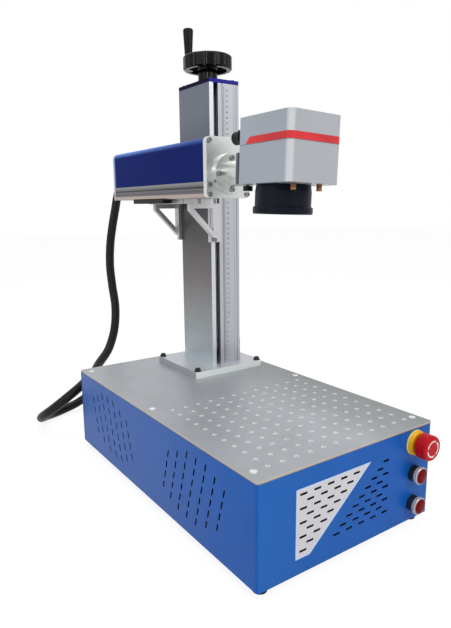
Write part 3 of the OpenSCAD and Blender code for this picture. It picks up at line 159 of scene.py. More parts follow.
class MachineColours(bpy.types.PropertyGroup):
    """Colours of the machine's finishes."""

    cabinet: colour("Cabinet", "Powder coat of the cabinet", 14, 92, 182)
    vent_plate: colour("Vent plate", "Plate around the left front vents", 219, 216, 219)
    vent_rim: colour("Vent rim", "Edges of the vent plate", 206, 220, 244)
    worktop: colour("Worktop", "Anodised face of the worktop", 176, 180, 185)
    worktop_edge: colour("Worktop edge", "Cut edge of the worktop", 216, 204, 172)
    stop_collar: colour("Stop collar", "Collar of the stop button", 255, 186, 8)
    collar_foot: colour("Collar foot", "Rim of the collar at the cabinet", 255, 236, 120)
    stop_head: colour("Stop head", "Mushroom head of the stop button", 188, 20, 30)
    button_lens: colour("Button lens", "Lenses of the push buttons", 126, 12, 16)
    button_ring: colour("Button ring", "Chrome rings of the push buttons", 186, 186, 190)
    column: colour("Column", "Extruded column", 184, 187, 192)
    # The column edge colour is painted light on the cover's front faces
    column_edge: colour("Column edge", "Front edge of the column's left side", 207, 210, 216)
    # The column cover colour is the left face painted as it looks in shade
    column_cover: colour("Column cover", "Left face of the column", 112, 119, 131)
    column_cap: colour("Column cap", "Cap on the column", 48, 50, 150)
    arm: colour("Arm", "Anodised cover of the arm", 22, 38, 110)
    # The arm crest colour is a painted highlight on the cover's rounded top edges
    arm_crest: colour("Arm crest", "Rounded edges of the arm's cover", 122, 160, 250)
    aluminium: colour("Aluminium", "Plain aluminium of brackets and plates", 198, 197, 199)
    foot_plate: colour("Foot plate", "Plate under the column", 205, 208, 213)
    rail: colour("Rail", "Sides of the arm's rail", 135, 135, 138)
    rail_lip: colour("Rail lip", "Lip below the arm's rail", 178, 166, 155)
    flange: colour("Flange", "Machined flange and beam tube", 212, 215, 213)
    head: colour("Head", "Paint of the scan head", 168, 176, 186)
    stripe: colour("Stripe", "Stripe around the scan head", 226, 40, 48)
    black: colour("Black", "Black plastic and rubber", 20, 21, 24)
    wheel: colour("Wheel", "Handwheel and crank handle", 7, 8, 12)
    brass: colour("Brass", "Turned brass", 150, 104, 62)


class MachineSizes(bpy.types.PropertyGroup):
    """Sizes of the pieces that are added to the solids."""

    hose_width: length("Hose", "Outer diameter of the hose", 20)
    boot_length: length("Boot", "Length of the hose's boots", 32)
    boot_width: length("Boot width", "Diameter of a boot where it is thickest", 24.4)
    stripe_height: length("Stripe height", "Height of the stripe around the head", 10)
    stripe_above: length("Stripe above seam", "Distance of the stripe from the seam", 0.5)
    tick_width: length("Tick", "Width of a tick on the scale", 0.28)
    number_height: length("Numbers", "Height of the numbers on the scale", 4.2)
    lens_rise: length("Button lens", "Rise of a button's lens", 1.6)


def empty_tree(owner):
    """The node tree of a material or world, with nothing in it."""
    owner.use_nodes = True
    owner.node_tree.nodes.clear()
    return owner.node_tree


def feed(tree, socket, value):
    """Gives an input a value, or links it to an output or a Wire."""
    value = getattr(value, "socket", value)
    if isinstance(value, bpy.types.NodeSocket):
        tree.links.new(value, socket)
    elif socket.type == "RGBA" and len(value) == 3:
        socket.default_value = (*value, 1)
    else:
        socket.default_value = value


def add_node(tree, kind, settings=None, sockets=None):
    """Makes a node; settings holds its own values, sockets what its inputs get."""
    made = tree.nodes.new(kind)
    for key, value in (settings or {}).items():
        setattr(made, key, value)
    for key, value in (sockets or {}).items():
        feed(tree, made.inputs[key], value)
    return made


class Wire:
    """An output of a shader node, with plain maths on it."""

    def __init__(self, finish, socket):
        self.finish = finish
        self.socket = socket

    def __add__(self, other):
        return self.finish.maths("ADD", self, other)

    def __sub__(self, other):
        return self.finish.maths("SUBTRACT", self, other)

    def __rsub__(self, other):
        return self.finish.maths("SUBTRACT", other, self)

    def __mul__(self, other):
        return self.finish.maths("MULTIPLY", self, other)

    def __abs__(self):
        return self.finish.maths("ABSOLUTE", self)

    __radd__ = __add__
    __rmul__ = __mul__


class Finish:
    """A material in the making, with one shader and the nodes that feed it."""

    def __init__(self, name, **sockets):
        self.material = bpy.data.materials.new(name)
        self.tree = empty_tree(self.material)
        self.shader = add_node(self.tree, "ShaderNodeBsdfPrincipled")
        add_node(self.tree, "ShaderNodeOutputMaterial", None, {0: self.shader.outputs[0]})
        for key, value in sockets.items():
            self.set(key.replace("_", " "), value)

    def node(self, kind, settings=None, sockets=None, output=0):
        return Wire(self, add_node(self.tree, kind, settings, sockets).outputs[output])

    def set(self, key, value):
        feed(self.tree, self.shader.inputs[key], value)

    def paint(self, shown):
        self.shown = shown
        self.set("Base Color", shown)

    def maths(self, operation, first, second=0.0):
        return self.node("ShaderNodeMath", {"operation": operation}, {0: first, 1: second})

    def place(self):
        return self.node("ShaderNodeTexCoord", output=3)

    def axis(self, index):
        return self.node("ShaderNodeSeparateXYZ", None, {0: self.place()}, index)

    def facing(self, index):
        normal = self.node("ShaderNodeNewGeometry", output=1)
        return self.node("ShaderNodeSeparateXYZ", None, {0: normal}, index)

    def noise(self, scale, detail=3.0, stretch=(1, 1, 1)):
        spread = self.node("ShaderNodeVectorMath", {"operation": "MULTIPLY"},
                           {0: self.place(), 1: stretch})
        return self.node("ShaderNodeTexNoise", None,
                         {"Vector": spread, "Scale": scale, "Detail": detail})

    def streaks(self, stretch, scale=1900, detail=2):
        """Noise drawn out along the short side of stretch."""
        return self.noise(1, detail, [scale * share for share in stretch])

    def span(self, value, low, high):
        """Zero up to low, one from high, and a slope between them."""
        return self.node("ShaderNodeMapRange", {"clamp": True}, {0: value, 1: low, 2: high})

    def mix(self, share, first, second):
        sockets = {0: share, 6: first, 7: second}
        return self.node("ShaderNodeMix", {"data_type": "RGBA"}, sockets, 2)

    def fade(self, value, stops):
        """Colours that run into one another along a value, from pairs of place and colour."""
        shown = stops[0][1]
        for (start, _), (end, following) in zip(stops, stops[1:]):
            shown = self.mix(self.span(value, start, end), shown, following)
        return shown

    def shade(self, base, darkest, pattern, low=0.0, high=1.0):
        """A colour that darkens to a share of itself where a pattern falls from high to low."""
        return self.mix(self.span(pattern, low, high), [level * darkest for level in base], base)

    def near(self, value, place, half_width):
        return 1 - self.span(abs(value - place), 0.0, half_width)

    def bump(self, height, strength, depth, edge=0.0):
        sockets = {"Height": height, "Strength": strength, "Distance": depth}
        if edge:
            sockets["Normal"] = self.node("ShaderNodeBevel", {"samples": 4}, {"Radius": edge})
        self.set("Normal", self.node("ShaderNodeBump", None, sockets))


def powder_coat(name, base, roughness=0.38, edge=0.6 * MM, gloss=0.25, peel=0.16):
    """Sprayed and baked paint with a fine orange peel."""
    finish = Finish(name, Roughness=roughness, Specular_IOR_Level=gloss)
    finish.paint(finish.shade(base, 0.86, finish.noise(7, 4), 0.3, 0.6))
    finish.set("Roughness", roughness - 0.05 + 0.1 * finish.noise(160, 2))
    finish.bump(finish.noise(620, 2) + 0.3 * finish.noise(2600, 2), peel, 0.25 * MM, edge)
    return finish


def cabinet_paint(name, base):
    """The cabinet's powder coat, with painted shade on the cut walls of its vents.

    The sheet's cut walls lie just inside the shell's sides and front, off its rounded corners,
    its lower flange and its rear edge. The front's left half gets painted light, and the left
    side a painted sheen that grows towards the rear.
    """
    finish = powder_coat(name, base, gloss=0.15)
    low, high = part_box("cabinet_shell")
    side = high.x - abs(finish.axis(0))
    front = finish.axis(1) - low.y
    within = finish.span(finish.maths("MINIMUM", side, front), 0.05 * MM, 0.2 * MM)
    off_corner = finish.span(finish.maths("MAXIMUM", side, front), 9 * MM, 10 * MM)
    off_flange = finish.span(finish.axis(2), 24 * MM, 26 * MM)
    off_rear = 1 - finish.span(front, 580 * MM, 583 * MM)
    leftward = 1 - finish.span(finish.axis(0), -160 * MM, 60 * MM)
    # Painted light on the front's left half, and a painted sheen on the left side towards the rear
    glow = finish.span(-1 * finish.facing(1), 0.5, 0.9) * leftward
    coat = finish.mix(glow, finish.shown, screen(30, 100, 184))
    rearward = finish.span(front, 60 * MM, 260 * MM)
    painted_left_sheen = finish.span(-1 * finish.facing(0), 0.5, 0.9) * rearward
    coat = finish.mix(painted_left_sheen, coat, screen(48, 97, 177))
    # Painted shade: the vents' cut walls inside the sheet are painted near black
    cut = within * off_corner * off_flange * off_rear
    finish.paint(finish.mix(cut, coat, (0.004, 0.008, 0.03)))
    return finish


def seamed_paint(name, base):
    """The head's satin paint, with the dark joint between housing and cover, painted light on its
    front faces and a painted highlight on its rounded front left corner.
    """
    finish = powder_coat(name, base, 0.3, 1.2 * MM, 0.45, 0.04)
    lean = math.radians(HEAD_ROLL)
    level = finish.axis(0) * math.sin(lean) + finish.axis(2) * math.cos(lean)
    line = BEAM.x * math.sin(lean) + BEAM.z * math.cos(lean) + SEAM - BEAM.z
    joint = finish.near(level, line, 0.55 * MM)
    satin = finish.shade(base, 0.93, finish.noise(11, 4), 0.3, 0.62)
    # Painted light: the front faces are mixed towards a lighter, warmer colour
    front = finish.span(-1 * finish.facing(1), 0.5, 0.95)
    satin = finish.mix(0.35 * front, satin, screen(192, 186, 186))
    # Painted highlight on the rounded corner between the left and front faces
    bend = finish.span(-1 * (finish.facing(0) + finish.facing(1)), 1.05, 1.38)
    painted = finish.mix(0.8 * bend, satin, screen(214, 219, 221))
    finish.paint(finish.mix(joint, painted, (0.02, 0.02, 0.022)))
    return finish


def drawn_metal(name, base, stretch, roughness=0.34, metallic=0.85, streak=0.6):
    """Extruded or brushed aluminium, with streaks along the short side of stretch."""
    finish = Finish(name, Metallic=metallic)
    fine = finish.streaks(stretch)
    broad = finish.streaks(stretch, 230, 3)
    cloud = finish.noise(14, 3)
    shared = 0.5 * fine + 0.35 * broad + 0.15 * cloud
    finish.paint(finish.shade(base, 1 - 0.2 * streak, shared, 0.3, 0.62))
    finish.set("Roughness", roughness + 0.2 * streak * (fine - 0.5) + 0.12 * (cloud - 0.5))
    finish.bump(shared, 0.12 * streak, 0.12 * MM, 0.4 * MM)
    return finish


def blasted_metal(name, base, roughness=0.5, metallic=0.75, gloss=0.5):
    """Aluminium that was bead blasted and anodised."""
    finish = Finish(name, Metallic=metallic, Specular_IOR_Level=gloss)
    grain = finish.noise(2400, 2)
    finish.paint(finish.shade(base, 0.88, finish.noise(10, 4), 0.32, 0.62))
    finish.set("Roughness", roughness + 0.12 * (grain - 0.5))
    finish.bump(grain, 0.2, 0.12 * MM, 0.4 * MM)
    return finish


def anodised_cover(name, base, crest):
    """The arm's folded cover: deep anodising with a painted highlight along its rounded top edges,
    and paler along its rear edge.
    """
    finish = blasted_metal(name, base, 0.55, 0.0, 0.03)
    up = finish.facing(2)
    # Painted highlight on the rounded top edges, stronger towards the rear; the rear edge gets the
    # same pale colour
    bend = finish.span(up, 0.1, 0.9) * (1 - 0.6 * finish.span(up, 0.94, 0.99))
    bend = bend * (0.35 + 0.65 * finish.span(finish.axis(1), 50 * MM, 300 * MM))
    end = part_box("arm_cover")[1].y
    rear = finish.span(finish.axis(1), end - 7 * MM, end - 1 * MM)
    finish.paint(finish.mix(finish.maths("MAXIMUM", bend, 0.9 * rear), finish.shown, crest))
    return finish


def cap_metal(name, base, side):
    """The column's anodised cap, with painted shade darkening the cut face at its left."""
    finish = blasted_metal(name, base, 0.5, 0.0, 0.05)
    # Painted shade: faces turned to the left get the dark side colour
    finish.paint(finish.mix(finish.span(finish.facing(0), -0.8, -0.4), side, finish.shown))
    return finish


def hole_rims(finish):
    """One on the countersunk rims of the worktop's holes, zero away from them.

    The grid is counted in steps of its pitch, so each hole's centre lies at a whole number.
    """
    squared = 0.0
    field = 1.0
    for index, count in enumerate(GRID_COUNT):
        steps = (finish.axis(index) - GRID_START[index]) * (1 / GRID_PITCH)
        off = finish.maths("FRACT", steps + 0.5) - 0.5
        squared = off * off + squared
        far = abs(steps - (count - 1) / 2)
        field = (1 - finish.span(far, count / 2 - 0.02, count / 2)) * field
    radius = finish.maths("SQRT", squared) * GRID_PITCH
    rim = finish.near(radius, HOLE_RADIUS + 0.2 * MM, 0.9 * MM)
    return finish.span(rim, 0.0, 0.55) * field


def worktop_metal(name, base, edge_colour):
    """The blasted worktop, with painted shade towards its right, a cut edge and threads in its
    holes.
    """
    finish = blasted_metal(name, base, 0.46, 0.55)
    cloud = finish.noise(9, 5)
    rubbed = finish.noise(1, 3, (26, 26, 26))
    worn = finish.shade(base, 0.87, 0.6 * cloud + 0.4 * rubbed, 0.32, 0.62)
    # Painted shade: the worktop darkens towards its right
    painted_right_shade = 0.6 * finish.span(finish.axis(0), 20 * MM, 165 * MM)
    face = finish.mix(painted_right_shade, worn, (0.16, 0.18, 0.17))
    low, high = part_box("worktop")
    across, along = (
        finish.span(abs(finish.axis(index)), high[index] - 6 * MM, high[index] - 5.5 * MM)
        for index in (0, 1)
    )
    border = finish.maths("MAXIMUM", across, along)
    wall = 1 - finish.span(abs(finish.facing(2)), 0.2, 0.6)
    rim = hole_rims(finish)
    # The holes' rims and thread walls are bare metal, painted near white as a painted highlight
    # for their glints
    bare_metal_and_glint = finish.maths("MAXIMUM", rim, wall * (1 - border))
    bright = finish.mix(bare_metal_and_glint, face, (0.98, 0.98, 0.98))
    sawn = finish.fade((finish.axis(2) - low.z) * (1 / MM), (
        (0.5, screen(150, 124, 96)),
        (0.8, screen(168, 166, 160)),
        (2.0, screen(168, 166, 160)),
        (2.4, edge_colour),
    ))
    finish.paint(finish.mix(border * wall, bright, sawn))
    finish.set("Metallic", 0.55 - 0.4 * border * wall - 0.5 * bare_metal_and_glint)
    thread_pitch = 1 * MM
    turns = finish.axis(2) * (2 * math.pi / thread_pitch)
    thread = finish.maths("SINE", turns) * wall * (1 - border)
    finish.bump(thread + 0.3 * finish.noise(2400, 2), 0.25, 0.3 * MM, 0.3 * MM)
    return finish


def edged_plate(name, base, rim):
    """The vent plate's paint, with painted shade on its slots' walls and a rim along its edges and
    slope.
    """
    finish = powder_coat(name, base, 0.5, 0.2 * MM)
    inner = 1.0
    for index in (0, 2):
        far = abs(finish.axis(index) - (VENT_LOW[index] + VENT_HIGH[index]) / 2)
        half = (VENT_HIGH[index] - VENT_LOW[index]) / 2
        inner = inner * (1 - finish.span(far, half - 2.7 * MM, half - 2.0 * MM))
    slope = Vector((VENT_HIGH.z - VENT_LOW.z, VENT_TOE - VENT_HIGH.x)).normalized()
    across = finish.axis(0) - VENT_HIGH.x
    beyond = across * slope.x + (finish.axis(2) - VENT_HIGH.z) * slope.y
    inner = inner * (1 - finish.span(beyond, -3.4 * MM, -2.6 * MM))
    # Painted shade: the slots' walls are painted near black
    wall = 1 - finish.span(abs(finish.facing(1)), 0.3, 0.6)
    plain = finish.shade(base, 0.93, finish.noise(30, 3))
    plain = finish.mix(wall, plain, (0.02, 0.022, 0.021))
    finish.paint(finish.mix(inner, rim, plain))
    return finish


def moulded(name, base, roughness=0.45, grain=900, depth=0.3, edge=0.5 * MM, gloss=0.2,
            mottle=1.0):
    """Moulded plastic or rubber with a spark-eroded grain."""
    finish = Finish(name, Specular_IOR_Level=gloss)
    fine = finish.noise(grain, 3)
    cloud = finish.noise(20, 3)
    finish.paint(finish.shade(base, 1 - 0.25 * mottle, cloud, 0.3, 0.65))
    uneven = 0.16 * mottle * (cloud - 0.5) + 0.1 * mottle * (fine - 0.5)
    finish.set("Roughness", roughness + uneven)
    finish.bump(fine, depth, 0.15 * MM, edge)
    return finish


def turned(name, base, centre, roughness=0.24, metallic=0.95, gloss=0.5):
    """Metal turned on a lathe about an upright axis through centre."""
    finish = Finish(name, Metallic=metallic, Specular_IOR_Level=gloss)
    far_x = finish.axis(0) - centre[0]
    far_y = finish.axis(1) - centre[1]
    radius = finish.maths("SQRT", far_x * far_x + far_y * far_y)
    fine = 3200
    rings = finish.node("ShaderNodeCombineXYZ", None, {0: radius * fine, 1: finish.axis(2) * fine})
    marks = finish.node("ShaderNodeTexNoise", None, {"Vector": rings, "Scale": 1.0, "Detail": 2.0})
    cloud = finish.noise(40, 3)
    finish.paint(finish.shade(base, 0.82, 0.6 * marks + 0.4 * cloud, 0.3, 0.6))
    finish.set("Roughness", roughness + 0.14 * (marks - 0.5) + 0.1 * (cloud - 0.5))
    finish.bump(marks, 0.15, 0.1 * MM, 0.3 * MM)
    return finish


def polished(name, base, roughness=0.08):
    """Chrome or a coated mirror with faint wiping marks."""
    finish = Finish(name, Metallic=1.0)
    wiped = finish.noise(1, 4, (300, 60, 300))
    finish.paint(finish.shade(base, 0.93, wiped, 0.3, 0.65))
    finish.set("Roughness", roughness + 0.07 * finish.span(wiped, 0.45, 0.75))
    finish.bump(wiped, 0.03, 0.05 * MM, 0.4 * MM)
    return finish


def collar_plastic(name, base, foot, line):
    """The stop button's yellow collar, paler on the rim behind line."""
    finish = moulded(name, base, 0.35, 1200, 0.12, 0.8 * MM, 0.3, 0.3)
    behind = finish.span(finish.axis(1), line - 0.2 * MM, line + 0.2 * MM)
    shaded = finish.shade(base, 0.92, finish.noise(20, 3), 0.3, 0.65)
    finish.paint(finish.mix(behind, shaded, foot))
    return finish


def ringed_chrome(name, base, inner, black):
    """The buttons' bezels: a chrome ring and a red seat in front of a black base."""
    finish = polished(name, base)
    wiped = finish.shade(base, 0.9, finish.noise(1, 4, (300, 60, 300)))
    low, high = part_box("button_bezels")
    across = finish.axis(0) - (low.x + high.x) / 2
    radius = (high.x - low.x) / 2
    middle = (low.z + high.z) / 2
    up = abs(finish.axis(2) - middle) - (high.z - middle - radius)
    far = finish.maths("SQRT", across * across + up * up)
    ring = finish.span(far, radius - 1.5 * MM, radius - 1.2 * MM)
    line = low.y + 6 * MM
    front = 1 - finish.span(finish.axis(1), line - 0.1 * MM, line + 0.1 * MM)
    finish.paint(finish.mix(front, black, finish.mix(ring, inner, wiped)))
    face = finish.span(-1 * finish.facing(1), 0.5, 0.8)
    finish.set("Metallic", front * ring * (0.15 + 0.45 * face))
    finish.set("Roughness", 0.45 - 0.18 * front * ring)
    return finish


def clear_red(name, base):
    """Translucent red plastic over a dark lamp holder."""
    finish = Finish(name, Roughness=0.3, Specular_IOR_Level=0.04)
    facets = finish.node("ShaderNodeTexVoronoi", None, {"Vector": finish.place(), "Scale": 520})
    finish.paint(finish.shade(base, 0.55, facets, 0.1, 0.7))
    finish.bump(facets, 0.2, 0.2 * MM)
    return finish


def coated_glass(name):
    """Lens glass whose coating turns from violet to green."""
    finish = Finish(name, Roughness=0.03, Transmission_Weight=0.85, IOR=1.5)
    edge = finish.node("ShaderNodeLayerWeight", None, {"Blend": 0.35}, 1)
    finish.paint(finish.mix(edge, (0.32, 0.2, 0.62), (0.14, 0.42, 0.3)))
    finish.bump(finish.noise(15, 2), 0.02, 0.05 * MM)
    return finish


def board_green(name):
    """A circuit board's green lacquer with paler tracks."""
    finish = Finish(name, Roughness=0.3)
    lines = finish.node("ShaderNodeTexBrick", None,
                        {"Vector": finish.place(), "Scale": 260.0, "Mortar Size": 0.06}, 1)
    finish.paint(finish.mix(lines, (0.01, 0.09, 0.035), (0.03, 0.2, 0.08)))
    finish.bump(lines, 0.2, 0.1 * MM)
    return finish


def wear(names, finish):
    """Gives a finish to solids of the frame, whose names stand in one text."""
    for name in names.split():
        for slot in NODES[name].material_slots:
            slot.material = finish.material


def add_object(name, data):
    made = bpy.data.objects.new(name, data)
    bpy.context.scene.collection.objects.link(made)
    return made


def add_piece(name, shape, finish, body, smooth=True):
    """Makes a mesh from points and faces in the machine's frame, which may ride on a body."""
    points, faces = shape
    mesh = bpy.data.meshes.new(name)
    mesh.from_pydata([tuple(point) for point in points], [], faces)
    mesh.validate()
    mesh.update()
    mesh.materials.append(finish.material)
    if smooth:
        mesh.shade_smooth()
        mesh.set_sharp_from_angle(angle=math.radians(SHARP_FROM))
    made = add_object(name, mesh)
    if body:
        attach(made, body)
    return made


def smooth_route(points, steps):
    """A smooth curve through points, with steps short runs between two of them."""
    corners = [Vector(point) * MM for point in points]
    route = []
    for index in range(len(corners) - 1):
        before = corners[max(index - 1, 0)]
        start = corners[index]
        end = corners[index + 1]
        after = corners[min(index + 2, len(corners) - 1)]
        for step in range(steps):
            t = step / steps
            route.append(0.5 * (2 * start + (end - before) * t
                                + (2 * before - 5 * start + 4 * end - after) * t ** 2
                                + (3 * start - before - 3 * end + after) * t ** 3))
    route.append(corners[-1])
    return route


def skin(rings, sides):
    """Faces of a tube through rings of points, closed by a cap at each end."""
    faces = [tuple(range(sides))[::-1]]
    for start in range(0, (rings - 1) * sides, sides):
        for turn in range(sides):
            here = start + turn
            after = start + (turn + 1) % sides
            faces.append((here, after, after + sides, here + sides))
    faces.append(tuple(range((rings - 1) * sides, rings * sides)))
    return faces


def sweep(route, radii, sides):
    """Points and faces of a closed tube along a route, with a radius at each point."""
    points = []
    side = Vector((1, 0, 0))
    for index, centre in enumerate(route):
        ahead = route[min(index + 1, len(route) - 1)] - route[max(index - 1, 0)]
        ahead.normalize()
        side = (side - ahead * side.dot(ahead)).normalized()
        other = ahead.cross(side)
        for turn in range(sides):
            angle = 2 * math.pi * turn / sides
            spoke = side * math.cos(angle) + other * math.sin(angle)
            points.append(centre + radii[index] * spoke)
    return points, skin(len(route), sides)


def dome(turns, radius, height, inner=0.0, foot=0.0):
    """Pairs of radius and height on a quarter of an ellipse, at angles in degrees."""
    return [(inner + radius * math.cos(math.radians(turn)),
             foot + height * math.sin(math.radians(turn))) for turn in turns]


def lathe(profile, centre, axis, sides):
    """Points and faces of a turned body, from pairs of radius and height along axis."""
    spin = Vector(axis).to_track_quat("Z", "Y")
    points = []
    for radius, height in profile:
        for turn in range(sides):
            angle = 2 * math.pi * turn / sides
            arm = Vector((radius * math.cos(angle), radius * math.sin(angle), height))
            points.append(Vector(centre) + spin @ arm)
    return points, skin(len(profile), sides)


def block(low, high):
    """Points and faces of a block between two corners."""
    corners = (low, high)
    points = [(a[0], b[1], c[2]) for a in corners for b in corners for c in corners]
    faces = [(0, 1, 3, 2), (4, 6, 7, 5), (0, 4, 5, 1), (2, 3, 7, 6), (0, 2, 6, 4), (1, 5, 7, 3)]
    return points, faces


def gather(parts):
    """Joins lists of points and faces into one."""
    points = []
    faces = []
    for part_points, part_faces in parts:
        start = len(points)
        points.extend(part_points)
        faces.extend(tuple(corner + start for corner in face) for face in part_faces)
    return points, faces


def add_camera(scene):
    lens = bpy.data.cameras.new("camera")
    lens.lens = CAMERA_LENS
    lens.sensor_width = CAMERA_FILM
    lens.clip_start = 0.01
    lens.clip_end = 60
    made = add_object("camera", lens)
    turn = Matrix.Rotation(math.radians(CAMERA_AZIMUTH), 4, "Z")
    tilt = Matrix.Rotation(math.radians(90 - CAMERA_ELEVATION), 4, "X")
    roll = Matrix.Rotation(math.radians(CAMERA_ROLL), 4, "Z")
    made.matrix_world = Matrix.Translation(CAMERA_PLACE) @ turn @ tilt @ roll
    scene.camera = made


def split_shaders(tree, output, lighting, seen):
    """Lets one shader light the machine and the camera, reflections and glass see the other."""
    rays = add_node(tree, "ShaderNodeLightPath").outputs
    direct = rays["Is Camera Ray"]
    for other in ("Is Glossy Ray", "Is Transmission Ray"):
        direct = add_node(tree, "ShaderNodeMath", {"operation": "MAXIMUM"},
                          {0: direct, 1: rays[other]}).outputs[0]
    mixed = add_node(tree, "ShaderNodeMixShader", None,
                     {0: direct, 1: lighting.outputs[0], 2: seen.outputs[0]})
    add_node(tree, output, None, {0: mixed.outputs[0]})


def add_world(scene):
    scene.world = bpy.data.worlds.new("studio")
    tree = empty_tree(scene.world)
    lit, seen = (add_node(tree, "ShaderNodeBackground", None,
                          {"Color": (1, 1, 1), "Strength": strength}) for strength in (0.5, 1))
    split_shaders(tree, "ShaderNodeOutputWorld", lit, seen)


def add_lamp(name, place, target, size, power):
    data = bpy.data.lights.new(name, "AREA")
    data.shape = "DISK"
    data.size = size
    data.energy = power
    made = add_object(name, data)
    made.location = place
    aim = Vector(target) - Vector(place)
    made.rotation_euler = aim.to_track_quat("-Z", "Y").to_euler()


def add_floor():
    """A pale floor that keeps the machine's shadow; its glow lets the camera see it white."""
    material = bpy.data.materials.new("floor")
    tree = empty_tree(material)
    plain, dim = (add_node(tree, "ShaderNodeBsdfDiffuse", None, {"Color": (level,) * 3})
                  for level in (0.86, 0.26))
    glow = add_node(tree, "ShaderNodeEmission", None, {"Strength": 0.85})
    sockets = {0: dim.outputs[0], 1: glow.outputs[0]}
    seen = add_node(tree, "ShaderNodeAddShader", None, sockets)
    split_shaders(tree, "ShaderNodeOutputMaterial", plain, seen)
    half = 9
    mesh = bpy.data.meshes.new("floor")
    mesh.from_pydata([(-half, -half, 0), (half, -half, 0), (half, half, 0), (-half, half, 0)],
                     [], [(0, 1, 2, 3)])
    mesh.materials.append(material)
    made = add_object("floor", mesh)


class MACHINE_OT_stage(bpy.types.Operator):
    """Camera, lamps, world and floor"""

    bl_idname = "machine.stage"
    bl_label = "Stage"

    def execute(self, context):
        add_camera(context.scene)
        add_world(context.scene)
        for row in LAMPS:
            add_lamp(*row)
        add_floor()
        context.scene.view_settings.view_transform = "Standard"
        return {"FINISHED"}


def add_boot(name, route, sizes, rubber, body):
    """A soft collar that narrows along the first stretch of a route."""
    taken = [route[0]]
    while sum((b - a).length for a, b in zip(taken, taken[1:])) < sizes.boot_length:
        taken.append(route[len(taken)])
    last = len(taken) - 1
    thin = sizes.hose_width / 2 + 0.3 * MM
    thick = sizes.boot_width / 2
    radii = [thick + (thin - thick) * index / last for index in range(last + 1)]
    add_piece(name, sweep(taken, radii, HOSE_SIDES), rubber, body)


class MACHINE_OT_hose(bpy.types.Operator):
    """The hose between arm and cabinet, with its boots and fittings"""

    bl_idname = "machine.hose"
    bl_label = "Hose"

    def execute(self, context):
        colours = context.scene.machine_colours
        sizes = context.scene.machine_sizes
        radius = sizes.hose_width / 2
        low, high = CAD_BOX
        route = [Vector((max(point.x, low[0] + radius), min(point.y, high[1] - radius), point.z))
                 for point in smooth_route(HOSE_ROUTE, HOSE_STEPS)]
        rubber = moulded("hose_rubber", colours.black, 0.42, 1500, 0.2, 0.0)
        tube = sweep(route, [radius] * len(route), HOSE_SIDES)
        hose = add_piece("supply_hose", tube, rubber, None)
        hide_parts("hose")
        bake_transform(hose)
        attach(hose, "base")
        add_boot("arm_boot", route, sizes, rubber, "lift")
        add_boot("cabinet_boot", route[::-1], sizes, rubber, "base")
        wear("arm_gland cabinet_gland", moulded("gland_nylon", colours.black, 0.5, 700))
        return {"FINISHED"}


def case_screw_steel(zinc, black):
    """Bright screws in the cabinet, blackened ones up on the column's cap."""
    finish = turned("case_screw_steel", zinc, (0, 0), 0.3)
    high = finish.span(finish.axis(2), 600 * MM, 700 * MM)
    bright = finish.shade(zinc, 0.85, finish.noise(900, 2), 0.3, 0.6)
    finish.paint(finish.mix(high, bright, black))
    finish.set("Metallic", 0.55 - 0.55 * high)
    return finish


class MACHINE_OT_cabinet(bpy.types.Operator):
    """The cabinet's paint, sheet, vent plate and feet"""

    bl_idname = "machine.cabinet"
    bl_label = "Cabinet"

    def execute(self, context):
        colours = context.scene.machine_colours
        wear("cabinet_shell", cabinet_paint("cabinet_paint", colours.cabinet))
        wear("rear_panel", powder_coat("rear_panel_paint", colours.cabinet, gloss=0.15))
        wear("vent_plate", edged_plate("vent_paint", colours.vent_plate, colours.vent_rim))
        wear("bottom_plate", drawn_metal("zinc_sheet", (0.5, 0.5, 0.5), (0.02, 1, 1), 0.4))
        wear("feet", moulded("foot_rubber", colours.black, 0.7, 600, 0.5))
        wear("case_screws", case_screw_steel((0.86, 0.87, 0.88), colours.black))
        wear("fan_frame fan_rotor power_inlet", moulded("fan_plastic", colours.black, 0.5))
        return {"FINISHED"}


class MACHINE_OT_worktop(bpy.types.Operator):
    """The drilled worktop"""

    bl_idname = "machine.worktop"
    bl_label = "Worktop"

    def execute(self, context):
        colours = context.scene.machine_colours
        wear("worktop", worktop_metal("worktop_metal", colours.worktop, colours.worktop_edge))
        return {"FINISHED"}


class MACHINE_OT_inside(bpy.types.Operator):
    """The laser source, power supply and board behind the vents"""

    bl_idname = "machine.inside"
    bl_label = "Inside"

    def execute(self, context):
        colours = context.scene.machine_colours
        wear("laser_source", powder_coat("source_paint", (0.04, 0.04, 0.045), 0.5))
        wear("power_supply", drawn_metal("supply_case", colours.aluminium, (1, 0.02, 1)))
        wear("control_board", board_green("board_lacquer"))
        wear("contact_blocks", moulded("contact_plastic", colours.black, 0.5))
        return {"FINISHED"}


def add_lens(name, rise, finish):
    """The low dome on a push button."""
    low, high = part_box(name + "_cap")
    centre = ((low.x + high.x) / 2, low.y, (low.z + high.z) / 2)
    radius = (high.x - low.x) / 2 - 1.3 * MM
    steps = 7
    profile = [(radius, -0.3 * MM)]
    profile += dome([90 * step / steps for step in range(steps)], radius, rise)
    shape = lathe(profile, centre, (0, -1, 0), 40)
    add_piece(name + "_lens", shape, finish, name)


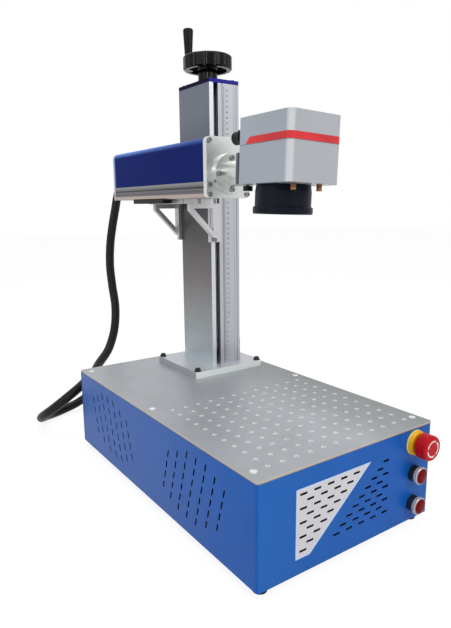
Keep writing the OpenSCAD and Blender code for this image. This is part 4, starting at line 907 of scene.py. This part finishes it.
def add_arrows(finish):
    """Three curved arrows on the mushroom, which show how it is released."""
    low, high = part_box("stop_head")
    centre = (low + high) / 2
    radius = 12 * MM
    half = 1.2 * MM
    barb = 1.8 * half
    # The arrows' lengths round the mushroom's centre, in degrees
    shaft, tip = 84, 108
    steps = 8
    turns = [shaft * step / steps for step in range(steps + 1)]
    parts = []
    for start in (66, 186, 306):
        outline = [(radius + half, turn) for turn in turns]
        outline += [(radius + barb, shaft), (radius, tip), (radius - barb, shaft)]
        outline += [(radius - half, turn) for turn in turns[::-1]]
        flat = [(centre.x + far * math.cos(math.radians(start + turn)),
                 centre.z + far * math.sin(math.radians(start + turn))) for far, turn in outline]
        count = len(flat)
        points = [(x, low.y + depth, z) for depth in (-0.02 * MM, 0.1 * MM) for x, z in flat]
        faces = [((i + 1) % count, i, i + count, (i + 1) % count + count) for i in range(count)]
        shown = [(step, step + 1, count - 2 - step, count - 1 - step) for step in range(steps)]
        shown.append(tuple(range(steps, steps + 5)))
        hidden = [tuple(corner + count for corner in face[::-1]) for face in shown]
        parts.append((points, faces + shown + hidden))
    add_piece("stop_arrows", gather(parts), finish, "stop_turn", smooth=False)


class MACHINE_OT_controls(bpy.types.Operator):
    """The stop button and the two push buttons"""

    bl_idname = "machine.controls"
    bl_label = "Controls"

    def execute(self, context):
        colours = context.scene.machine_colours
        wear("stop_collar", collar_plastic("collar_yellow", colours.stop_collar,
                                           colours.collar_foot, VENT_HIGH.y - 2.8 * MM))
        red = moulded("mushroom_red", colours.stop_head, 0.34, 1400, 0.1, 0.8 * MM, 0.1, 0.5)
        wear("stop_head", red)
        wear("stop_stem", moulded("stem_black", colours.black, 0.4))
        wear("button_bezels", ringed_chrome("bezel_chrome", colours.button_ring,
                                            colours.button_lens, colours.black))
        lens = clear_red("button_red", colours.button_lens)
        wear("upper_button_cap lower_button_cap", lens)
        for name in ("upper_button", "lower_button"):
            add_lens(name, context.scene.machine_sizes.lens_rise, lens)
        add_arrows(powder_coat("arrow_white", screen(240, 218, 212), 0.45, 0))
        return {"FINISHED"}


def foot_plate_metal(base):
    """A brushed top whose milled side faces carry painted light, darker on the left faces as
    painted shade, with a painted highlight on the front left corner.
    """
    finish = blasted_metal("foot_plate_aluminium", base, 0.42, 0.5)
    up = finish.span(finish.facing(2), 0.3, 0.7)
    left = finish.span(-1 * finish.facing(0), 0.8, 0.95)
    corner = finish.near(finish.facing(0), -0.6, 0.3)
    # Painted light on the side faces, painted shade on the left faces, and a painted highlight at
    # the front left corner
    edge = finish.mix(left, screen(238, 243, 240), screen(176, 180, 188))
    milled = finish.mix(corner, edge, screen(242, 242, 248))
    brushed = finish.shade(base, 0.92, finish.noise(12, 4), 0.32, 0.62)
    finish.paint(finish.mix(up, milled, brushed))
    return finish


def add_bolt_flanges(finish):
    """The rounded flanges under the heads of the foot plate's four bolts."""
    low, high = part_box("column_foot_plate")
    inset = 8 * MM
    edge = 1.3 * MM
    inner = 5.1 * MM
    round_off = 1.6 * MM
    profile = [(inner + round_off, 0.0), (inner + round_off, edge)]
    profile += dome(range(15, 91, 15), round_off, 2.4 * MM, inner, edge)
    places = [(x, y, high.z) for x in (low.x + inset, high.x - inset)
              for y in (low.y + inset, high.y - inset)]
    shape = gather([lathe(profile, place, (0, 0, 1), 32) for place in places])
    add_piece("bolt_flanges", shape, finish, "base")


def scale_metal(base, upright):
    """The scale's strip, with a darker line where it meets the column on each side."""
    finish = drawn_metal("scale_aluminium", base, upright, 0.42)
    half = (SCALE_HIGH.x - SCALE_LOW.x) / 2
    off = abs(finish.axis(0) - (SCALE_LOW.x + half))
    seam = finish.span(off, half - 0.9 * MM, half - 0.6 * MM)
    plain = finish.shade(base, 0.88, finish.streaks(upright), 0.3, 0.65)
    finish.paint(finish.mix(0.8 * seam, plain, screen(118, 120, 124)))
    return finish


def column_cover_metal(colours, upright):
    """The left face, with a painted reflection of the bright worktop at its foot and painted shade
    under the arm above it; the cover's other faces get the lighter edge colour as painted light.
    """
    finish = drawn_metal("cover_aluminium", colours.column_cover, upright, 0.36)
    low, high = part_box("column_cover")
    edge = finish.span(finish.axis(0), low.x + 0.3 * MM, low.x + 0.5 * MM)
    height = finish.span(finish.axis(2), low.z, high.z)
    streaks = finish.span(finish.streaks(upright), 0.3, 0.65)
    # Painted reflection of the worktop low down, then painted shade under the arm
    face = finish.fade(height, (
        (0.0, screen(210, 222, 228)),
        (0.05, screen(182, 192, 197)),
        (0.12, screen(154, 161, 165)),
        (0.3, screen(124, 119, 120)),
        (0.48, screen(82, 81, 83)),
        (0.7, screen(85, 88, 95)),
        (0.9, colours.column_cover),
    ))
    streaked = finish.mix(0.14 * streaks, face, (0.02, 0.02, 0.022))
    # Painted light: faces off the left face take the lighter column edge colour
    finish.paint(finish.mix(edge, streaked, colours.column_edge))
    return finish


def add_scale(sizes):
    """Ticks each millimetre, longer each five and ten, and a number each ten.

    All of them stand a hair proud of the strip, and keep off its two ends by a margin.
    """
    ink = moulded("scale_ink", screen(82, 86, 110), 0.6, 900, 0.1, 0)
    left = SCALE_LOW.x + 0.6 * MM
    front = SCALE_LOW.y - 0.06 * MM
    back = SCALE_LOW.y + 0.2 * MM
    margin = 5 * MM
    start = SCALE_LOW.z + margin
    count = int((SCALE_HIGH.z - SCALE_LOW.z - 2 * margin) / MM)
    parts = []
    for mark in range(count + 1):
        run = 5.4 if mark % 10 == 0 else 4.4 if mark % 5 == 0 else 3.2
        height = start + mark * MM
        parts.append(block((left, front, height - sizes.tick_width / 2),
                           (left + run * MM, back, height + sizes.tick_width / 2)))
    add_piece("scale_ticks", gather(parts), ink, "base", smooth=False)
    indent = left + 6.4 * MM
    parts = [scale_number(mark // 10, (indent, front, start + mark * MM), sizes.number_height)
             for mark in range(0, count + 1, 10)]
    add_piece("scale_numbers", gather(parts), ink, "base", smooth=False)


def scale_number(value, place, height):
    """Points and faces of one number that faces the front, with its left middle at place."""
    text = bpy.data.curves.new("number", "FONT")
    text.body = str(value)
    size_per_height = 1.35
    text.size = height * size_per_height
    text.align_y = "CENTER"
    text.extrude = 0.05 * MM
    text.resolution_u = 3
    holder = add_object("number", text)
    shaped = holder.evaluated_get(bpy.context.evaluated_depsgraph_get())
    mesh = bpy.data.meshes.new_from_object(shaped)
    points = [(place[0] + v.co.x, place[1] - v.co.z, place[2] + v.co.y) for v in mesh.vertices]
    faces = [tuple(polygon.vertices) for polygon in mesh.polygons]
    bpy.data.objects.remove(holder)
    bpy.data.curves.remove(text)
    bpy.data.meshes.remove(mesh)
    return points, faces


class MACHINE_OT_column(bpy.types.Operator):
    """The column with its cover, cap, foot plate and scale"""

    bl_idname = "machine.column"
    bl_label = "Column"

    def execute(self, context):
        colours = context.scene.machine_colours
        upright = (1, 1, 0.012)
        wear("column_profile", drawn_metal("column_aluminium", colours.column, upright))
        wear("column_cover", column_cover_metal(colours, upright))
        wear("scale_strip", scale_metal(colours.column, upright))
        wear("column_foot_plate", foot_plate_metal(colours.foot_plate))
        wear("side_clamp", blasted_metal("clamp_aluminium", colours.aluminium, 0.42))
        # The cap's dark side colour is painted shade on its left face
        wear("column_cap", cap_metal("cap_anodised", colours.column_cap, screen(8, 8, 46)))
        black_oxide = turned("black_oxide", (0.014, 0.014, 0.015), SCREW_AXIS, 0.36, 0.4)
        wear("column_bolts", black_oxide)
        add_bolt_flanges(black_oxide)
        wear("guide_rods lift_screw",
             turned("ground_steel", (0.62, 0.63, 0.65), SCREW_AXIS, 0.2))
        wear("screw_bearings", powder_coat("bearing_paint", (0.05, 0.05, 0.055)))
        add_scale(context.scene.machine_sizes)
        return {"FINISHED"}


class MACHINE_OT_wheel(bpy.types.Operator):
    """The handwheel and its crank handle"""

    bl_idname = "machine.wheel"
    bl_label = "Handwheel"

    def execute(self, context):
        colours = context.scene.machine_colours
        for name, label, edge in (("handwheel", "wheel_black", 1.4 * MM),
                                  ("crank_handle", "handle_black", 1 * MM)):
            wear(name, moulded(label, colours.wheel, 0.1, 800, 0.004, edge, 0.13, 0.2))
        wear("handle_spindle", polished("spindle_steel", (0.6, 0.61, 0.63), 0.2))
        return {"FINISHED"}


class MACHINE_OT_lift(bpy.types.Operator):
    """The carriage, its ears, the brackets and the mount plate"""

    bl_idname = "machine.lift"
    bl_label = "Lift"

    def execute(self, context):
        colours = context.scene.machine_colours
        wear("carriage_block",
             drawn_metal("carriage_aluminium", colours.aluminium, (1, 1, 0.03)))
        wear("lift_nut", turned("nut_brass", colours.brass, SCREW_AXIS))
        wear("carriage_ears arm_brackets arm_mount_plate",
             blasted_metal("bracket_aluminium", colours.aluminium, 0.4))
        return {"FINISHED"}


def rail_metal(colours, forward):
    """The extruded rail, painted in bands upward from its foot: milled lip, web, groove as painted
    shade, ledge and side.
    """
    finish = drawn_metal("rail_aluminium", colours.rail, forward, 0.38, 0.75, 0.3)
    web = screen(106, 103, 110)
    # The groove's near black is painted shade in the groove
    groove = screen(34, 34, 38)
    ledge = screen(106, 110, 108)
    side = finish.shade(colours.rail, 0.9, finish.noise(60, 3))
    # Heights above the floor in millimetres
    finish.paint(finish.fade(finish.axis(2) * (1 / MM), (
        (517.4, colours.rail_lip), (518.2, web), (526.8, web), (527.3, groove),
        (528.9, groove), (529.4, ledge), (532.4, ledge), (533.4, side),
    )))
    return finish


def add_end_screws(finish):
    """Four round-headed screws that hold the arm's rear cap."""
    radius = 4 * MM
    edge = 0.8 * MM
    crown = 1.5 * MM
    socket = 1 * MM
    profile = [(radius, 0.0), (radius, edge)]
    profile += dome(range(15, 76, 15), radius, crown, 0.0, edge)
    profile += [(socket, edge + crown), (socket, edge + 0.2 * MM)]
    low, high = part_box("arm_end_cap")
    inset = 8 * MM
    places = [(x, high.y, z) for x in (low.x + inset, high.x - inset)
              for z in (low.z + inset, high.z - 1.6 * inset)]
    shape = gather([lathe(profile, place, (0, 1, 0), 24) for place in places])
    add_piece("end_cap_screws", shape, finish, "lift")


class MACHINE_OT_arm(bpy.types.Operator):
    """The arm with its rails, cover, flange, end cap and screws"""

    bl_idname = "machine.arm"
    bl_label = "Arm"

    def execute(self, context):
        colours = context.scene.machine_colours
        forward = (1, 0.012, 1)
        wear("arm_base", rail_metal(colours, forward))
        wear("arm_cover", anodised_cover("arm_anodised", colours.arm, colours.arm_crest))
        wear("arm_end_cap", blasted_metal("end_aluminium", colours.aluminium, 0.4))
        wear("arm_access_cover", moulded("access_black", colours.black, 0.5))
        wear("arm_flange",
             drawn_metal("flange_aluminium", colours.flange, (0.03, 1, 1), 0.3, 0.85, 0.25))
        wear("beam_tube",
             drawn_metal("tube_aluminium", colours.flange, (0.3, 1, 0.3), 0.28, 0.9, 0.25))
        wear("arm_screws", turned("screw_steel", (0.3, 0.31, 0.3), BEAM, 0.3))
        wear("collimator", blasted_metal("collimator_black", (0.05, 0.05, 0.055), 0.4))
        add_end_screws(turned("end_screw_steel", (0.6, 0.6, 0.62), BEAM, 0.3))
        return {"FINISHED"}


def pointer_brass(colours):
    """Turned brass, browned above its bright tip."""
    axis = (-28 * MM, HEAD_FRONT + 15.5 * MM)
    finish = turned("pointer_brass", colours.brass, axis, 0.34, 0.8)
    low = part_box("pointers")[0].z
    tip = 1 - finish.span(finish.axis(2), low + 4.6 * MM, low + 5.6 * MM)
    bright = finish.shade(colours.brass, 0.8, finish.noise(700, 2), 0.3, 0.65)
    finish.paint(finish.mix(tip, screen(112, 76, 50), bright))
    return finish


def add_stripe(sizes, base):
    """A band round the front and both sides, just above the seam, with slanting rear ends."""
    red = moulded("stripe_red", base, 0.35, 1100, 0.06, 0, 0.4)
    proud = 0.25 * MM
    left = BEAM.x - HEAD_HALF
    right = BEAM.x + HEAD_HALF
    front = HEAD_FRONT + HEAD_CORNER
    low_end = -112.5 * MM
    high_end = -121 * MM
    steps = 12
    outline = [(left, low_end), (left, front)]
    for centre, start in ((left + HEAD_CORNER, 180), (right - HEAD_CORNER, 270)):
        for step in range(1, steps + 1):
            angle = math.radians(start + 90 * step / steps)
            outline.append((centre + HEAD_CORNER * math.cos(angle),
                            front + HEAD_CORNER * math.sin(angle)))
    outline.append((right, low_end))
    low = SEAM + sizes.stripe_above
    high = low + sizes.stripe_height
    last = len(outline) - 1
    points = []
    for index, here in enumerate(outline):
        before = Vector(outline[max(index - 1, 0)])
        after = Vector(outline[min(index + 1, last)])
        along = (after - before).normalized()
        outward = Vector((along.y, -along.x))
        outer = Vector(here) + outward * proud
        inner = Vector(here) - outward * proud
        back = high_end - low_end if index in (0, last) else 0.0
        points += [(inner.x, inner.y, low), (inner.x, inner.y + back, high),
                   (outer.x, outer.y + back, high), (outer.x, outer.y, low)]
    turn = Matrix.Rotation(math.radians(HEAD_ROLL), 3, "Y")
    leaning = [BEAM + turn @ (Vector(point) - BEAM) for point in points]
    add_piece("head_stripe", (leaning, skin(len(outline), 4)), red, "lift")


class MACHINE_OT_head(bpy.types.Operator):
    """The scan head with its stripe, lens, pointers and mirrors"""

    bl_idname = "machine.head"
    bl_label = "Scan head"

    def execute(self, context):
        colours = context.scene.machine_colours
        wear("head_housing head_cover", seamed_paint("head_paint", colours.head))
        wear("head_back_plate", powder_coat("back_plate_paint", screen(92, 97, 107), 0.45))
        wear("head_fittings", moulded("fitting_black", colours.black, 0.45))
        wear("pointers", pointer_brass(colours))
        low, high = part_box("lens_ring")
        wear("lens_barrel lens_ring",
             turned("lens_black", (0.006, 0.009, 0.016), (low + high) / 2, 0.36, 0.0, 0.08))
        wear("lens_glass", coated_glass("lens_coating"))
        wear("mirror_x mirror_y", polished("mirror_gold", (0.9, 0.82, 0.6), 0.04))
        wear("scan_motors", blasted_metal("motor_black", (0.05, 0.05, 0.055), 0.4))
        add_stripe(context.scene.machine_sizes, colours.stripe)
        return {"FINISHED"}


PIECE_OPERATORS = (
    MACHINE_OT_hose, MACHINE_OT_cabinet, MACHINE_OT_worktop, MACHINE_OT_inside,
    MACHINE_OT_controls, MACHINE_OT_column, MACHINE_OT_wheel, MACHINE_OT_lift, MACHINE_OT_arm,
    MACHINE_OT_head,
)


class MACHINE_PT_panel(bpy.types.Panel):
    """Lists the machine's operators, colours and sizes"""

    bl_idname = "MACHINE_PT_panel"
    bl_label = "Laser marking machine"
    bl_space_type = "VIEW_3D"
    bl_region_type = "UI"
    bl_category = "Machine"

    def draw(self, context):
        layout = self.layout
        layout.operator(MACHINE_OT_stage.bl_idname)
        for operator in PIECE_OPERATORS:
            layout.operator(operator.bl_idname)
        for group in (context.scene.machine_colours, context.scene.machine_sizes):
            for key in group.bl_rna.properties.keys():
                if key not in ("rna_type", "name"):
                    layout.prop(group, key)


CLASSES = (MachineColours, MachineSizes, MACHINE_OT_stage, *PIECE_OPERATORS, MACHINE_PT_panel)


def register():
    for each in CLASSES:
        bpy.utils.register_class(each)
    bpy.types.Scene.machine_colours = bpy.props.PointerProperty(type=MachineColours)
    bpy.types.Scene.machine_sizes = bpy.props.PointerProperty(type=MachineSizes)


def unregister():
    del bpy.types.Scene.machine_sizes
    del bpy.types.Scene.machine_colours
    for each in reversed(CLASSES):
        bpy.utils.unregister_class(each)


def main():
    register()
    bpy.ops.machine.stage()
    bpy.ops.machine.hose()
    bpy.ops.machine.cabinet()
    bpy.ops.machine.worktop()
    bpy.ops.machine.inside()
    bpy.ops.machine.controls()
    bpy.ops.machine.column()
    bpy.ops.machine.wheel()
    bpy.ops.machine.lift()
    bpy.ops.machine.arm()
    bpy.ops.machine.head()


if __name__ == "__main__":
    main()
